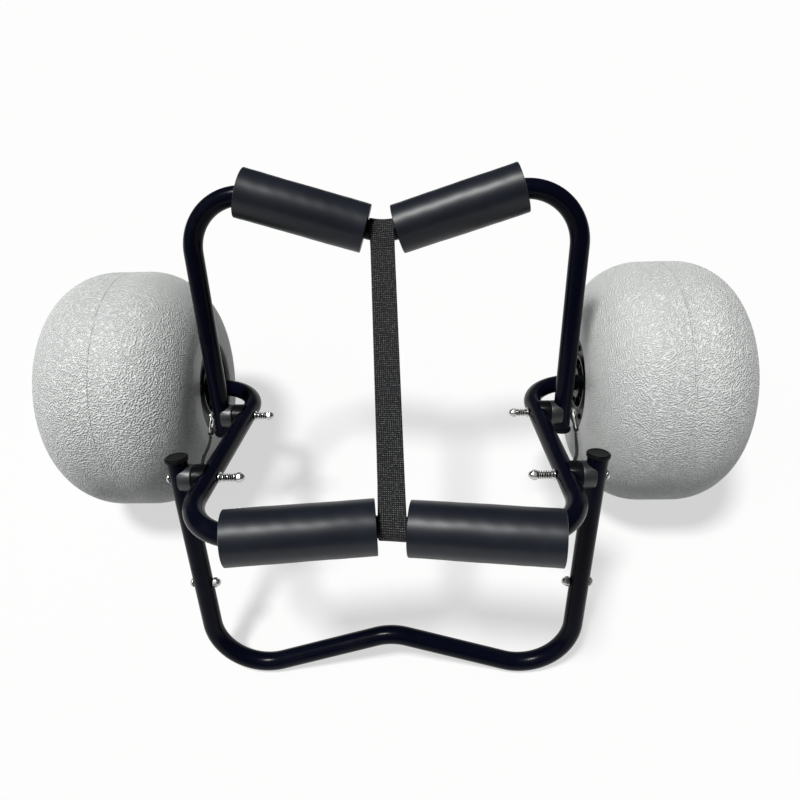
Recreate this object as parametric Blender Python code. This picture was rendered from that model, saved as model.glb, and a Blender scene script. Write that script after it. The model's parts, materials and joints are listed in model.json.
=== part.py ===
"""Folding boat launching trolley.

Two padded tube cradles meet in a V above a pair of balloon wheels, a webbing strap holds them
apart, and a kickstand folds down from the front cradle. Origin: on the ground at the middle of the
footprint. +X is the user's right, the kickstand stands in front (-Y) and +Z is up.
"""
import math

import bmesh
import bpy
from mathutils import Matrix, Vector

# Fits
GAP = 0.0003                    # between faces that touch on the real trolley
BORE_PLAY = 0.0003              # radial play of a shaft in its hole

# Frame tube
TUBE_R = 0.011
TUBE_WALL = 0.0015
BEND_R = 0.062                  # centre-line radius of every bend
TUBE_SIDES = 14
BEND_STEP = math.radians(13)

# Wheels
WHEEL_R = 0.160
WHEEL_HALF_W = 0.100
WHEEL_X = 0.347                 # middle of the tread from the middle of the trolley
SHOULDER_R = 0.079
TYRE_WALL = 0.005
TYRE_SEGMENTS = 28
HUB_RECESS = 0.005              # how far the hub face lies inside the tyre's side
HUB_DISC_R = 0.064
HUB_DISC_T = 0.005
HUB_BARREL_R = 0.0365
HUB_BARREL_WALL = 0.0045
HUB_WEB_T = 0.006
HUB_WEB_DEPTH = 0.018           # from the hub face down to the web
HUB_SLEEVE_WALL = 0.005
HUB_SLEEVE_PROUD = 0.002        # how far the sleeve stands past the hub face
HUB_SLEEVE_TAIL = 0.020         # how far the sleeve runs behind the web
HUB_SEGMENTS = 20
BUSH_WALL = 0.0028
BUSH_FLANGE_R = 0.0175
BUSH_FLANGE_T = 0.0015

# Axle ends
AXLE_WASHER_T = 0.002
AXLE_WASHER_R = 0.018
AXLE_PIN_R = 0.002
AXLE_PIN_PROUD = 0.007
AXLE_PIN_HEAD_R = 0.0045
AXLE_PIN_HEAD_T = 0.003
AXLE_PIN_SETBACK = 0.0085       # tube left outside the pin

# Front cradle, bent with the axle out of one tube
FRONT_TILT = math.radians(20.4)
FRONT_NECK_X = 0.1795           # where the straight leg would meet the axle line
FRONT_CORNER_X = 0.1975
FRONT_REACH = 0.3357
FRONT_DIP = 0.0222

# Hinges
HINGE_SPACING = 0.0315          # between the tube centre lines that a hinge joins
HINGE_R = 0.015
HINGE_SIDES = 16
SPIGOT_R = 0.0085
SPIGOT_H = 0.0015

# Rear cradle
REAR_PIVOT_REACH = 0.0856       # from the axle, along the front cradle
REAR_TILT = math.radians(67.2)
REAR_CORNER_X = 0.2196
REAR_REACH = 0.2906
REAR_DIP = 0.0670
REAR_TAIL = 0.0210

# Kickstand
KICK_PIVOT_REACH = 0.2269
KICK_TILT = math.radians(63.852)
KICK_CORNER_X = 0.2104
KICK_REACH = 0.2749
KICK_DIP = 0.0644
KICK_TAIL = 0.0211
KICK_BOLT_REACH = 0.137
KICK_SEAM_REACH = 0.112         # where the leg meets the loop
KICK_SPIGOT_L = 0.045

# End caps
CAP_R = 0.0127
CAP_T = 0.0045
CAP_BEVEL_T = 0.00105
CAP_BEVEL_W = 0.00195
CAP_PLUG_L = 0.0065
BORE_MARGIN = 0.0015            # tube bore past a plug's end

# Foam pads
PAD_R = 0.0275
PAD_LENGTH = 0.144
PAD_SIDE_CLEARANCE = 0.0014     # between a pad's end and the strap

# Webbing strap
STRAP_W = 0.027
STRAP_T = 0.0018
STRAP_FRONT_X = 0.0108
STRAP_REAR_X = -0.0022
STRAP_FRONT_SEAM = 0.040        # from the bar's centre to where both layers are sewn together
STRAP_REAR_SEAM = 0.024
STRAP_SEWN_L = 0.016

# Hinge bolts
BOLT_R = 0.003
BOLT_HEAD_R = 0.0053
BOLT_HEAD_T = 0.0036
BOLT_SIDES = 12
WASHER_R = 0.0062
WASHER_T = 0.0013
NUT_AF = 0.0100                 # across flats
NUT_HEX_T = 0.0050
NUT_DOME_H = 0.0040
REAR_SPRING_L = 0.0130
KICK_SPRING_L = 0.0172
SPRING_R = 0.0041
SPRING_WIRE_R = 0.0006
SPRING_PITCH = 0.0024
SPRING_TURN_POINTS = 6

# Rings and lanyards
RING_R = 0.0135
RING_WIRE_R = 0.00075
RING_HANG = math.radians(11)    # how far the lanyard pulls a ring forward of straight down
RING_LEAN = math.radians(15.4)  # how far a ring leans out from its leg
CORD_R = 0.0015
CORD_HOLE_L = 0.0080            # depth of the hole in the hinge that takes a lanyard's end

# Derived sizes
# A ring crosses its bolt this far from the rear leg, because its top leans in over the bolt
RING_ROOM = RING_WIRE_R + GAP + (BOLT_R + 2 * RING_WIRE_R) * math.tan(RING_LEAN)
TUBE_BORE_R = TUBE_R - TUBE_WALL
CAP_BORE_L = CAP_PLUG_L + BORE_MARGIN


def front_leg_x(reach):
    """Half width between the front legs' centre lines at a distance from the axle."""
    return FRONT_NECK_X + (FRONT_CORNER_X - FRONT_NECK_X) * reach / FRONT_REACH


REAR_PIVOT_X = front_leg_x(REAR_PIVOT_REACH) + HINGE_SPACING
KICK_PIVOT_X = front_leg_x(KICK_PIVOT_REACH) + HINGE_SPACING


def kick_leg_x(reach):
    """Half width between the kickstand legs' centre lines at a distance from their pivot."""
    return KICK_PIVOT_X + (KICK_CORNER_X - KICK_PIVOT_X) * reach / KICK_REACH


def rear_leg_x(reach):
    """Half width between the rear legs' centre lines at a distance from their pivot."""
    return REAR_PIVOT_X + (REAR_CORNER_X - REAR_PIVOT_X) * reach / REAR_REACH


def bent_path(corners, radius):
    """Centre line through corner points in the local XY plane, each corner rounded by an arc."""
    points = [Vector((x, y, 0)) for x, y in corners]
    path = [points[0]]
    for before, corner, after in zip(points, points[1:], points[2:]):
        back = (before - corner).normalized()
        ahead = (after - corner).normalized()
        opening = back.angle(ahead)
        to_centre = (back + ahead).normalized()
        centre = corner + to_centre * radius / math.sin(opening / 2)
        first = corner + back * radius / math.tan(opening / 2) - centre
        turn = math.pi - opening
        sense = 1 if back.cross(ahead).z < 0 else -1
        steps = 2 * math.ceil(turn / BEND_STEP / 2)
        for i in range(steps + 1):
            path.append(centre + Matrix.Rotation(sense * turn * i / steps, 3, "Z") @ first)
    path.append(points[-1])
    return path


def kick_path():
    """Centre line of the kickstand's loop from one seam with its legs to the other."""
    start = KICK_SEAM_REACH + GAP
    seam_x = kick_leg_x(start)
    return bent_path([(-seam_x, start), (-KICK_CORNER_X, KICK_REACH), (0, KICK_REACH - KICK_DIP),
                      (KICK_CORNER_X, KICK_REACH), (seam_x, start)], BEND_R)


def standing_lean(loop_reach):
    """How far the opened frame turns about its axle before its loop stands on the ground.

    The front legs and the kickstand keep the angle between them. With p from the axle to their
    pivot, q from there to the loop's lowest line and this angle a, the front legs' slope t solves
    p sin t - q sin(a - t) = tube radius - wheel radius.
    """
    spread = FRONT_TILT + KICK_TILT
    along = KICK_PIVOT_REACH + loop_reach * math.cos(spread)
    across = loop_reach * math.sin(spread)
    drop = (WHEEL_R - TUBE_R) / math.hypot(along, across)
    return FRONT_TILT - math.atan2(across, along) + math.asin(drop)


KICK_LONGEST = max(point.y for point in kick_path())
LEAN = standing_lean(KICK_LONGEST)
FRONT_SLOPE, REAR_SLOPE, KICK_SLOPE = FRONT_TILT - LEAN, REAR_TILT + LEAN, KICK_TILT + LEAN
FRONT_DIR = Vector((0, -math.cos(FRONT_SLOPE), math.sin(FRONT_SLOPE)))
REAR_DIR = Vector((0, math.cos(REAR_SLOPE), math.sin(REAR_SLOPE)))

# The origin lies midway between the loop's front and the wheels' back.
FRONT_EDGE = FRONT_DIR.y * KICK_PIVOT_REACH - KICK_LONGEST * math.cos(KICK_SLOPE) - TUBE_R
AXLE = Vector((0, -(FRONT_EDGE + WHEEL_R) / 2, WHEEL_R))
REAR_PIVOT = AXLE + FRONT_DIR * REAR_PIVOT_REACH
KICK_PIVOT = AXLE + FRONT_DIR * KICK_PIVOT_REACH


def path_tangents(path):
    """Unit direction at each point: the mean of the two runs that meet there."""
    runs = [(b - a).normalized() for a, b in zip(path, path[1:])]
    joints = [(a + b).normalized() for a, b in zip(runs, runs[1:])]
    return [runs[0]] + joints + [runs[-1]]


def path_rings(path, radius, sides=TUBE_SIDES):
    """Circles square to a path in the local XY plane, wide enough to keep the tube's radius."""
    runs = [(b - a).normalized() for a, b in zip(path, path[1:])]
    rings = []
    for i, (point, tangent) in enumerate(zip(path, path_tangents(path))):
        side = Vector((tangent.y, -tangent.x, 0))
        stretch = 1 / tangent.dot(runs[min(i, len(runs) - 1)])
        rings.append([point + side * radius * stretch * math.cos(a) + Vector((0, 0, radius * math.sin(a)))
                      for a in angles(sides)])
    return rings


def angles(count):
    """Equal steps round a circle, with a corner at the bottom of the first ring."""
    return [2 * math.pi * i / count - math.pi / 2 for i in range(count)]


def ring_x(x, radius, sides):
    """A circle about the X axis."""
    return [Vector((x, radius * math.cos(a), radius * math.sin(a))) for a in angles(sides)]


def loft(name, rings, loop=False):
    """Closed mesh through rings of equal count, capped at both ends or closed into a loop."""
    bm = bmesh.new()
    rows = [[bm.verts.new(point) for point in ring] for ring in rings]
    pairs = list(zip(rows, rows[1:]))
    if loop:
        pairs.append((rows[-1], rows[0]))
    else:
        bm.faces.new(rows[0])
        bm.faces.new(rows[-1])
    for low, high in pairs:
        for i in range(len(low)):
            j = (i + 1) % len(low)
            bm.faces.new((low[i], low[j], high[j], high[i]))
    bmesh.ops.recalc_face_normals(bm, faces=bm.faces)
    mesh = bpy.data.meshes.new(name)
    bm.to_mesh(mesh)
    bm.free()
    return mesh


def turned(name, profile, sides, loop=False):
    """A mesh turned about the X axis from (x, radius) pairs."""
    return loft(name, [ring_x(x, radius, sides) for x, radius in profile], loop)


def tube_mesh(name, path, bore_l):
    """A tube along a path, bored from each end to take what plugs into it."""
    outer = path_rings(path, TUBE_R)
    ends = []
    for end, inward in ((path[0], path[1]), (path[-1], path[-2])):
        floor = end + (inward - end).normalized() * bore_l
        ends.append((end, floor))
    first = path_rings([ends[0][1], ends[0][0]], TUBE_BORE_R)
    last = path_rings([ends[1][0], ends[1][1]], TUBE_BORE_R)
    flipped = [mirror_ring(ring, outer[0]) for ring in first]
    closing = [mirror_ring(ring, outer[-1]) for ring in last]
    return loft(name, flipped + outer + closing)


def mirror_ring(ring, like):
    """The ring's points in the order that lines each up with the nearest point of another ring."""
    centre = sum(like, Vector()) / len(like)
    own = sum(ring, Vector()) / len(ring)
    ordered = []
    for point in like:
        way = (point - centre).normalized()
        ordered.append(max(ring, key=lambda candidate: (candidate - own).normalized().dot(way)))
    return ordered


def material(name, colour, roughness, metallic=0.0):
    """A Principled material."""
    made = bpy.data.materials.get(name) or bpy.data.materials.new(name)
    made.use_nodes = True
    shader = made.node_tree.nodes["Principled BSDF"]
    shader.inputs["Base Color"].default_value = (*colour, 1)
    shader.inputs["Roughness"].default_value = roughness
    shader.inputs["Metallic"].default_value = metallic
    return made


def powder_coat():
    return material("black_powder_coat", (0.012, 0.013, 0.016), 0.28)


def black_plastic():
    return material("black_plastic", (0.018, 0.018, 0.019), 0.5)


def hinge_plastic():
    return material("hinge_plastic", (0.075, 0.078, 0.082), 0.45)


def steel():
    return material("stainless_steel", (0.62, 0.62, 0.61), 0.22, 1.0)


def foam():
    return material("charcoal_foam", (0.045, 0.047, 0.050), 0.85)


def webbing():
    return material("black_webbing", (0.016, 0.016, 0.018), 0.8)


def cord_fabric():
    return material("black_cord", (0.014, 0.014, 0.014), 0.75)


def tyre_skin():
    return material("silver_vinyl", (0.46, 0.47, 0.47), 0.42)


def place(name, mesh, parent, finish, location=(0, 0, 0), rotation=None):
    """An object for one piece, under the empty whose body it belongs to."""
    piece = bpy.data.objects.new(name, mesh)
    bpy.context.collection.objects.link(piece)
    piece.parent = parent
    piece.location = location
    if rotation is not None:
        piece.rotation_euler = rotation
    mesh.materials.append(finish)
    mesh.shade_smooth()
    mesh.set_sharp_from_angle(angle=math.radians(35))
    return piece


def cut(piece, cutter_mesh, location=(0, 0, 0), rotation=(0, 0, 0)):
    """Takes a cutter's shape out of a piece, in the piece's parent frame."""
    cutter = bpy.data.objects.new(piece.name + "_cutter", cutter_mesh)
    bpy.context.collection.objects.link(cutter)
    cutter.parent = piece.parent
    cutter.location = location
    cutter.rotation_euler = rotation
    cutter.hide_render = True
    cutter.display_type = "WIRE"
    modifier = piece.modifiers.new("hole", "BOOLEAN")
    modifier.operation = "DIFFERENCE"
    modifier.object = cutter


def rod_x(radius, length, sides=BOLT_SIDES):
    """A plain rod along X, centred, used to drill across a tube."""
    return turned("rod", [(-length / 2, radius), (length / 2, radius)], sides)


def frame_empty(name, location, tilt):
    """An empty whose local Y runs out along a frame that is tilted about X."""
    empty = bpy.data.objects.new(name, None)
    bpy.context.collection.objects.link(empty)
    empty.location = location
    empty.rotation_euler = (tilt, 0, 0)
    return empty


def sides():
    """The two mirrored sides, as a name and a sign along X."""
    return (("left", -1), ("right", 1))


def drill_bolt_hole(tube, x, reach):
    """Drills both legs of a U frame for a cross bolt."""
    for _, sign in sides():
        length = 4 * TUBE_R
        cut(tube, rod_x(BOLT_R + BORE_PLAY, length), (sign * x, reach, 0))


# Front cradle and axle
def axle_half_length():
    """From the middle of the trolley to the end of the axle tube."""
    return outer_pin_x() + AXLE_PIN_R + AXLE_PIN_SETBACK


def hub_end_offset():
    """From the middle of the tread to the outer face of the bush's flange."""
    return WHEEL_HALF_W - HUB_RECESS + HUB_SLEEVE_PROUD + GAP + BUSH_FLANGE_T


def outer_pin_x():
    """From the middle of the trolley to the cross pin outside a wheel."""
    return WHEEL_X + hub_end_offset() + AXLE_WASHER_T + 3 * GAP + AXLE_PIN_HEAD_R


def front_path():
    """Centre line of the front cradle from one axle end to the other."""
    end = axle_half_length()
    return bent_path([(-end, 0), (-FRONT_NECK_X, 0), (-FRONT_CORNER_X, FRONT_REACH),
                      (0, FRONT_REACH - FRONT_DIP), (FRONT_CORNER_X, FRONT_REACH),
                      (FRONT_NECK_X, 0), (end, 0)], BEND_R)


def front_cradle(frame):
    """The cradle's tube, drilled for its hinges and for the pins that keep the wheels on."""
    tube = place("front_cradle_tube", tube_mesh("front_cradle_tube", front_path(), CAP_BORE_L),
                 frame, powder_coat())
    drill_bolt_hole(tube, front_leg_x(REAR_PIVOT_REACH), REAR_PIVOT_REACH)
    drill_bolt_hole(tube, front_leg_x(KICK_PIVOT_REACH), KICK_PIVOT_REACH)
    for _, sign in sides():
        cut(tube, rod_x(AXLE_PIN_R + BORE_PLAY, 4 * TUBE_R), (sign * outer_pin_x(), 0, 0),
            (0, math.pi / 2, 0))


def axle_fittings(frame):
    """Washer, cross pin and end cap outside each wheel."""
    for name, sign in sides():
        outer = sign * (WHEEL_X + hub_end_offset() + GAP)
        place("axle_washer_" + name, flat_ring(sign * AXLE_WASHER_T, AXLE_WASHER_R), frame, steel(),
              (outer, 0, 0))
        place("axle_pin_" + name, axle_pin_mesh(), frame, steel(), (sign * outer_pin_x(), 0, 0),
              (0, math.pi / 2, 0))
        end_cap("axle_cap_" + name, frame, Vector((sign * axle_half_length(), 0, 0)), Vector((sign, 0, 0)))


def flat_ring(thickness, outer_r, inner_r=TUBE_R + BORE_PLAY, count=16):
    """A washer on X that starts at the origin and runs along X by its signed thickness."""
    profile = [(0, inner_r), (0, outer_r), (thickness, outer_r), (thickness, inner_r)]
    return turned("ring", profile, count, loop=True)


def axle_pin_mesh():
    """A headed pin through the axle, proud of it at its plain end."""
    reach = TUBE_R + AXLE_PIN_PROUD
    head = TUBE_R + GAP
    return turned("pin", [(-reach, AXLE_PIN_R), (head, AXLE_PIN_R), (head, AXLE_PIN_HEAD_R),
                          (head + AXLE_PIN_HEAD_T, AXLE_PIN_HEAD_R)], BOLT_SIDES)


def end_cap(name, parent, end, outward):
    """A rimmed plastic cap whose plug sits in a tube's bore."""
    plug_r = TUBE_BORE_R - BORE_PLAY
    profile = [(-CAP_PLUG_L, plug_r), (GAP, plug_r), (GAP, CAP_R), (CAP_T - CAP_BEVEL_T, CAP_R),
               (CAP_T, CAP_R - CAP_BEVEL_W)]
    turn = outward.to_track_quat("X", "Z").to_euler()
    place(name, turned(name, profile, TUBE_SIDES), parent, black_plastic(), end, turn)


# Foam pads
def trimmed_path(path, start, stop):
    """The stretch of a path between two distances from its middle, measured along it."""
    lengths = [0.0]
    for a, b in zip(path, path[1:]):
        lengths.append(lengths[-1] + (b - a).length)
    middle = lengths[-1] / 2
    low, high = sorted((start + middle, stop + middle))
    stretch = [point_at(path, lengths, low)]
    stretch += [point for point, s in zip(path, lengths) if low + GAP < s < high - GAP]
    stretch.append(point_at(path, lengths, high))
    return stretch


def point_at(path, lengths, distance):
    """The point of a path at a distance along it."""
    for a, b, s0, s1 in zip(path, path[1:], lengths, lengths[1:]):
        if s0 <= distance <= s1:
            return a.lerp(b, (distance - s0) / (s1 - s0))
    return path[-1]


def pad_mesh(name, path, start, stop):
    """A foam sleeve on a bar, with the bar's own bends and a small gap round it."""
    stretch = trimmed_path(path, start, stop)
    skin = path_rings(stretch, PAD_R)
    bore = path_rings(stretch, TUBE_R + GAP)
    return loft(name, skin + bore[::-1], loop=True)


def bar_slope(x, corner_x, dip):
    """How much a V bar slopes at a place across it, where its middle is rounded."""
    straight = math.atan2(dip, corner_x)
    if abs(x) < BEND_R * math.sin(straight):
        return math.asin(abs(x) / BEND_R)
    return straight


def pads(frame, label, path, strap_x, corner_x, dip):
    """The two foam sleeves of a cradle, one each side of the strap, clear of its loop."""
    for name, sign in sides():
        edge = strap_x + sign * (STRAP_W / 2 + PAD_SIDE_CLEARANCE)
        lean = bar_slope(edge, corner_x, dip)
        start = edge + sign * (TUBE_R + STRAP_T) * math.sin(lean)
        node = label + "_pad_" + name
        place(node, pad_mesh(node, path, start, start + sign * PAD_LENGTH), frame, foam())


# Rear cradle
def rear_path():
    """Centre line of the rear cradle from one capped end to the other."""
    tail_x = rear_leg_x(-REAR_TAIL)
    return bent_path([(-tail_x, -REAR_TAIL), (-REAR_CORNER_X, REAR_REACH), (0, REAR_REACH - REAR_DIP),
                      (REAR_CORNER_X, REAR_REACH), (tail_x, -REAR_TAIL)], BEND_R)


def rear_cradle(frame):
    """The rear U with its caps and pads."""
    path = rear_path()
    tube = place("rear_cradle_tube", tube_mesh("rear_cradle_tube", path, CAP_BORE_L), frame, powder_coat())
    drill_bolt_hole(tube, REAR_PIVOT_X, 0)
    end_cap("rear_cradle_cap_left", frame, path[0], (path[0] - path[1]).normalized())
    end_cap("rear_cradle_cap_right", frame, path[-1], (path[-1] - path[-2]).normalized())
    pads(frame, "rear", path, STRAP_REAR_X, REAR_CORNER_X, REAR_DIP)


# Kickstand
def kick_leg_mesh(sign):
    """A straight leg from its capped top to the seam, with the spigot that fills the loop's end."""
    top = Vector((sign * kick_leg_x(-KICK_TAIL), -KICK_TAIL, 0))
    seam = Vector((sign * kick_leg_x(KICK_SEAM_REACH), KICK_SEAM_REACH, 0))
    way = (seam - top).normalized()
    stations = [(top + way * CAP_BORE_L, TUBE_BORE_R), (top, TUBE_BORE_R), (top, TUBE_R), (seam, TUBE_R),
                (seam, TUBE_BORE_R - BORE_PLAY), (seam + way * KICK_SPIGOT_L, TUBE_BORE_R - BORE_PLAY)]
    rings = []
    for point, radius in stations:
        rings.append(path_rings([point, point + way], radius)[0])
    return loft("kickstand_leg", rings), top, -way


def kickstand(frame):
    """Two capped legs and the loop that slides over their spigots, drilled together."""
    for name, sign in sides():
        mesh, top, outward = kick_leg_mesh(sign)
        leg = place("kickstand_leg_" + name, mesh, frame, powder_coat())
        for reach in (0, KICK_BOLT_REACH):
            cut(leg, rod_x(BOLT_R + BORE_PLAY, 4 * TUBE_R), (sign * kick_leg_x(reach), reach, 0))
        end_cap("kickstand_cap_" + name, frame, top, outward)
    bore_l = KICK_SPIGOT_L + BORE_MARGIN
    loop = place("kickstand_loop", tube_mesh("kickstand_loop", kick_path(), bore_l), frame, powder_coat())
    drill_bolt_hole(loop, kick_leg_x(KICK_BOLT_REACH), KICK_BOLT_REACH)


# Hinge halves
def hinge_half(name, frame, x_tube, x_face, reach, leg_lean, finish, spigot):
    """A barrel between a tube's centre line and the hinge's meeting face, hollowed to hug the tube.

    The half with the spigot turns in the recess of the other one.
    """
    way = 1 if x_face > x_tube else -1
    face = x_face - way * GAP / 2
    hole = BOLT_R + BORE_PLAY
    if spigot:
        profile = [(x_tube, hole), (x_tube, HINGE_R), (face, HINGE_R), (face, SPIGOT_R),
                   (face + way * SPIGOT_H, SPIGOT_R), (face + way * SPIGOT_H, hole)]
    else:
        profile = [(x_tube, hole), (x_tube, HINGE_R), (face, HINGE_R), (face, SPIGOT_R + BORE_PLAY),
                   (face - way * (SPIGOT_H + GAP), SPIGOT_R + BORE_PLAY),
                   (face - way * (SPIGOT_H + GAP), hole)]
    half = place(name, turned(name, profile, HINGE_SIDES, loop=True), frame, finish, (0, reach, 0))
    saddle = rod_x(TUBE_R + GAP, 6 * HINGE_R, TUBE_SIDES)
    cut(half, saddle, (x_tube, reach, 0), (0, 0, math.pi / 2 - leg_lean))
    return half


def lanyard_hole(half, sign):
    """A blind hole in a hinge half, in line with the last stretch of the lanyard's run."""
    to_frame = half.parent.matrix_basis.inverted()
    before, tip = (to_frame @ (AXLE + Vector(point)) for point in LANYARD_RUN[-2:])
    way = (tip - before).normalized()
    middle = tip + (GAP - CORD_HOLE_L) * way
    cut(half, rod_x(CORD_R + GAP, 2 * CORD_HOLE_L), (sign * middle.x, middle.y, middle.z),
        (0, math.atan2(-way.z, way.y), math.pi / 2))


def hinges(front, rear, kick):
    """Both halves of all four hinges: the inner half sits on the front cradle's leg."""
    front_lean = math.atan2(FRONT_CORNER_X - FRONT_NECK_X, FRONT_REACH)
    rear_lean = math.atan2(REAR_CORNER_X - REAR_PIVOT_X, REAR_REACH)
    kick_lean = math.atan2(KICK_CORNER_X - KICK_PIVOT_X, KICK_REACH)
    for name, sign in sides():
        for label, moving, reach, lean in (("rear", rear, REAR_PIVOT_REACH, rear_lean),
                                           ("kick", kick, KICK_PIVOT_REACH, kick_lean)):
            inner_x = sign * front_leg_x(reach)
            middle = inner_x + sign * HINGE_SPACING / 2
            inner = hinge_half(label + "_hinge_inner_" + name, front, inner_x, middle, reach,
                               sign * front_lean, black_plastic(), True)
            if label == "kick":
                lanyard_hole(inner, sign)
            hinge_half(label + "_hinge_outer_" + name, moving, inner_x + sign * HINGE_SPACING, middle, 0,
                       sign * lean, hinge_plastic(), False)


# Bolts, nuts, washers and springs
def button_bolt(name, sign, under_head, tip):
    """A bolt from its domed head, outside a tube, to its tip in the nut."""
    profile = [(sign * tip, BOLT_R), (sign * under_head, BOLT_R), (sign * under_head, BOLT_HEAD_R),
               (sign * (under_head + 0.35 * BOLT_HEAD_T), BOLT_HEAD_R),
               (sign * (under_head + 0.78 * BOLT_HEAD_T), 0.78 * BOLT_HEAD_R),
               (sign * (under_head + BOLT_HEAD_T), 0.42 * BOLT_HEAD_R)]
    return turned(name, profile, BOLT_SIDES)


def hex_ring(x, radius):
    """Twelve points on a hexagon about X: its corners and the middles of its sides."""
    points = []
    for i, angle in enumerate(angles(BOLT_SIDES)):
        r = radius / math.cos(math.pi / 6) if i % 2 == 0 else radius
        points.append(Vector((x, r * math.cos(angle), r * math.sin(angle))))
    return points


def dome_nut_mesh(sign):
    """A dome nut that opens at x = 0 and points inward, away from the tube it clamps."""
    hole = BOLT_R + BORE_PLAY
    flat = NUT_AF / 2
    inward = -sign
    bore_l = NUT_HEX_T + 0.4 * NUT_DOME_H
    rings = [ring_x(inward * bore_l, hole, BOLT_SIDES), ring_x(0, hole, BOLT_SIDES),
             ring_x(0, 0.94 * flat, BOLT_SIDES), hex_ring(inward * 0.12 * NUT_HEX_T, flat),
             hex_ring(inward * 0.88 * NUT_HEX_T, flat), ring_x(inward * NUT_HEX_T, 0.90 * flat, BOLT_SIDES)]
    for step in (0.45, 0.9):
        height = NUT_HEX_T + NUT_DOME_H * step
        rings.append(ring_x(inward * height, 0.88 * flat * math.sqrt(1 - step ** 2), BOLT_SIDES))
    return loft("dome_nut", rings)


def spring_mesh(sign, length):
    """A compression spring along X that starts at x = 0 and runs inward."""
    turns = round(length / SPRING_PITCH)
    run = length - 2 * SPRING_WIRE_R
    count = turns * SPRING_TURN_POINTS
    rings = []
    for i in range(count + 1):
        angle = 2 * math.pi * i / SPRING_TURN_POINTS
        radial = Vector((0, math.cos(angle), math.sin(angle)))
        centre = Vector((-sign * (SPRING_WIRE_R + run * i / count), 0, 0)) + radial * SPRING_R
        rings.append([centre + SPRING_WIRE_R * (radial * math.cos(a) + Vector((math.sin(a), 0, 0)))
                      for a in angles(4)])
    return loft("spring", rings)


def hinge_bolts(front):
    """The bolt, washer, spring and dome nut through each of the four hinges."""
    for name, sign in sides():
        for label, reach, spring_l, ring_room in (
                ("rear", REAR_PIVOT_REACH, REAR_SPRING_L, RING_ROOM),
                ("kick", KICK_PIVOT_REACH, KICK_SPRING_L, 0)):
            outer = front_leg_x(reach) + HINGE_SPACING + TUBE_R + GAP + ring_room
            inner = front_leg_x(reach) - TUBE_R - GAP
            washer_end = inner - WASHER_T
            spring_start = washer_end - GAP
            nut_start = spring_start - spring_l - GAP
            place(label + "_hinge_bolt_" + name,
                  button_bolt("bolt", sign, outer, nut_start - NUT_HEX_T), front, steel(),
                  (0, reach, 0))
            place(label + "_hinge_spring_" + name, spring_mesh(sign, spring_l), front, steel(),
                  (sign * spring_start, reach, 0))
            place(label + "_hinge_washer_" + name,
                  flat_ring(-sign * WASHER_T, WASHER_R, BOLT_R + BORE_PLAY, BOLT_SIDES), front, steel(),
                  (sign * inner, reach, 0))
            place(label + "_hinge_nut_" + name, dome_nut_mesh(sign), front, steel(),
                  (sign * nut_start, reach, 0))


def kick_cross_bolts(kick):
    """The bolts that pin the kickstand's loop to the spigots of its legs."""
    for name, sign in sides():
        centre = kick_leg_x(KICK_BOLT_REACH)
        nut_start = centre - TUBE_R - GAP
        place("kickstand_bolt_" + name,
              button_bolt("bolt", sign, centre + TUBE_R + GAP, nut_start - NUT_HEX_T), kick, steel(),
              (0, KICK_BOLT_REACH, 0))
        place("kickstand_nut_" + name, dome_nut_mesh(sign), kick, steel(),
              (sign * nut_start, KICK_BOLT_REACH, 0))


# Rings and lanyards
def ring_centre(sign):
    """Where a ring hangs on the rear hinge bolt, between the bolt's head and the rear leg."""
    x = front_leg_x(REAR_PIVOT_REACH) + HINGE_SPACING + TUBE_R + RING_ROOM
    drop = RING_R - (RING_WIRE_R + BOLT_R + GAP) / math.cos(RING_LEAN)
    down = Vector((math.sin(RING_LEAN) * math.cos(RING_HANG), -math.sin(RING_HANG),
                   -math.cos(RING_LEAN) * math.cos(RING_HANG)))
    centre = Vector((x, REAR_PIVOT.y, REAR_PIVOT.z)) + drop * down
    return Vector((sign * centre.x, centre.y, centre.z))


def lanyard_rings():
    """A wire ring on each rear hinge bolt."""
    for name, sign in sides():
        centre = ring_centre(sign)
        wire = []
        for i in range(16):
            angle = 2 * math.pi * i / 16
            radial = Vector((0, math.cos(angle), math.sin(angle)))
            wire.append([radial * RING_R + RING_WIRE_R * (radial * math.cos(a) + Vector((math.sin(a), 0, 0)))
                         for a in angles(5)])
        place("lanyard_ring_" + name, loft("ring", wire, loop=True), None, steel(), centre,
              (0, -sign * RING_LEAN, 0))


# The lanyard's run, right side, from the axle's middle: from below its ring into the kickstand hinge
LANYARD_RUN = [
    (0.2356, -0.0851, 0.0056),
    (0.2357, -0.0888, 0.0028),
    (0.2343, -0.0980, 0.0031),
    (0.2309, -0.1130, 0.0112),
    (0.2252, -0.1340, 0.0266),
    (0.2185, -0.1570, 0.0449),
    (0.2112, -0.1770, 0.0618),
    (0.2063, -0.1890, 0.0722),
    (0.2048, -0.1975, 0.0796),
    (0.2048, -0.2035, 0.0848),
]


def smooth_through(points, per_span):
    """Points of a smooth curve through the given ones."""
    padded = [points[0] * 2 - points[1]] + points + [points[-1] * 2 - points[-2]]
    curve = []
    for p0, p1, p2, p3 in zip(padded, padded[1:], padded[2:], padded[3:]):
        for i in range(per_span):
            t = i / per_span
            curve.append(0.5 * ((2 * p1) + (p2 - p0) * t + (2 * p0 - 5 * p1 + 4 * p2 - p3) * t * t
                                + (3 * p1 - p0 - 3 * p2 + p3) * t ** 3))
    curve.append(points[-1])
    return curve


def lanyard_points(sign):
    """The lanyard's centre line: a smooth curve through its run."""
    run = smooth_through([AXLE + Vector(point) for point in LANYARD_RUN], 2)
    return [Vector((sign * p.x, p.y, p.z)) for p in run]


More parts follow.
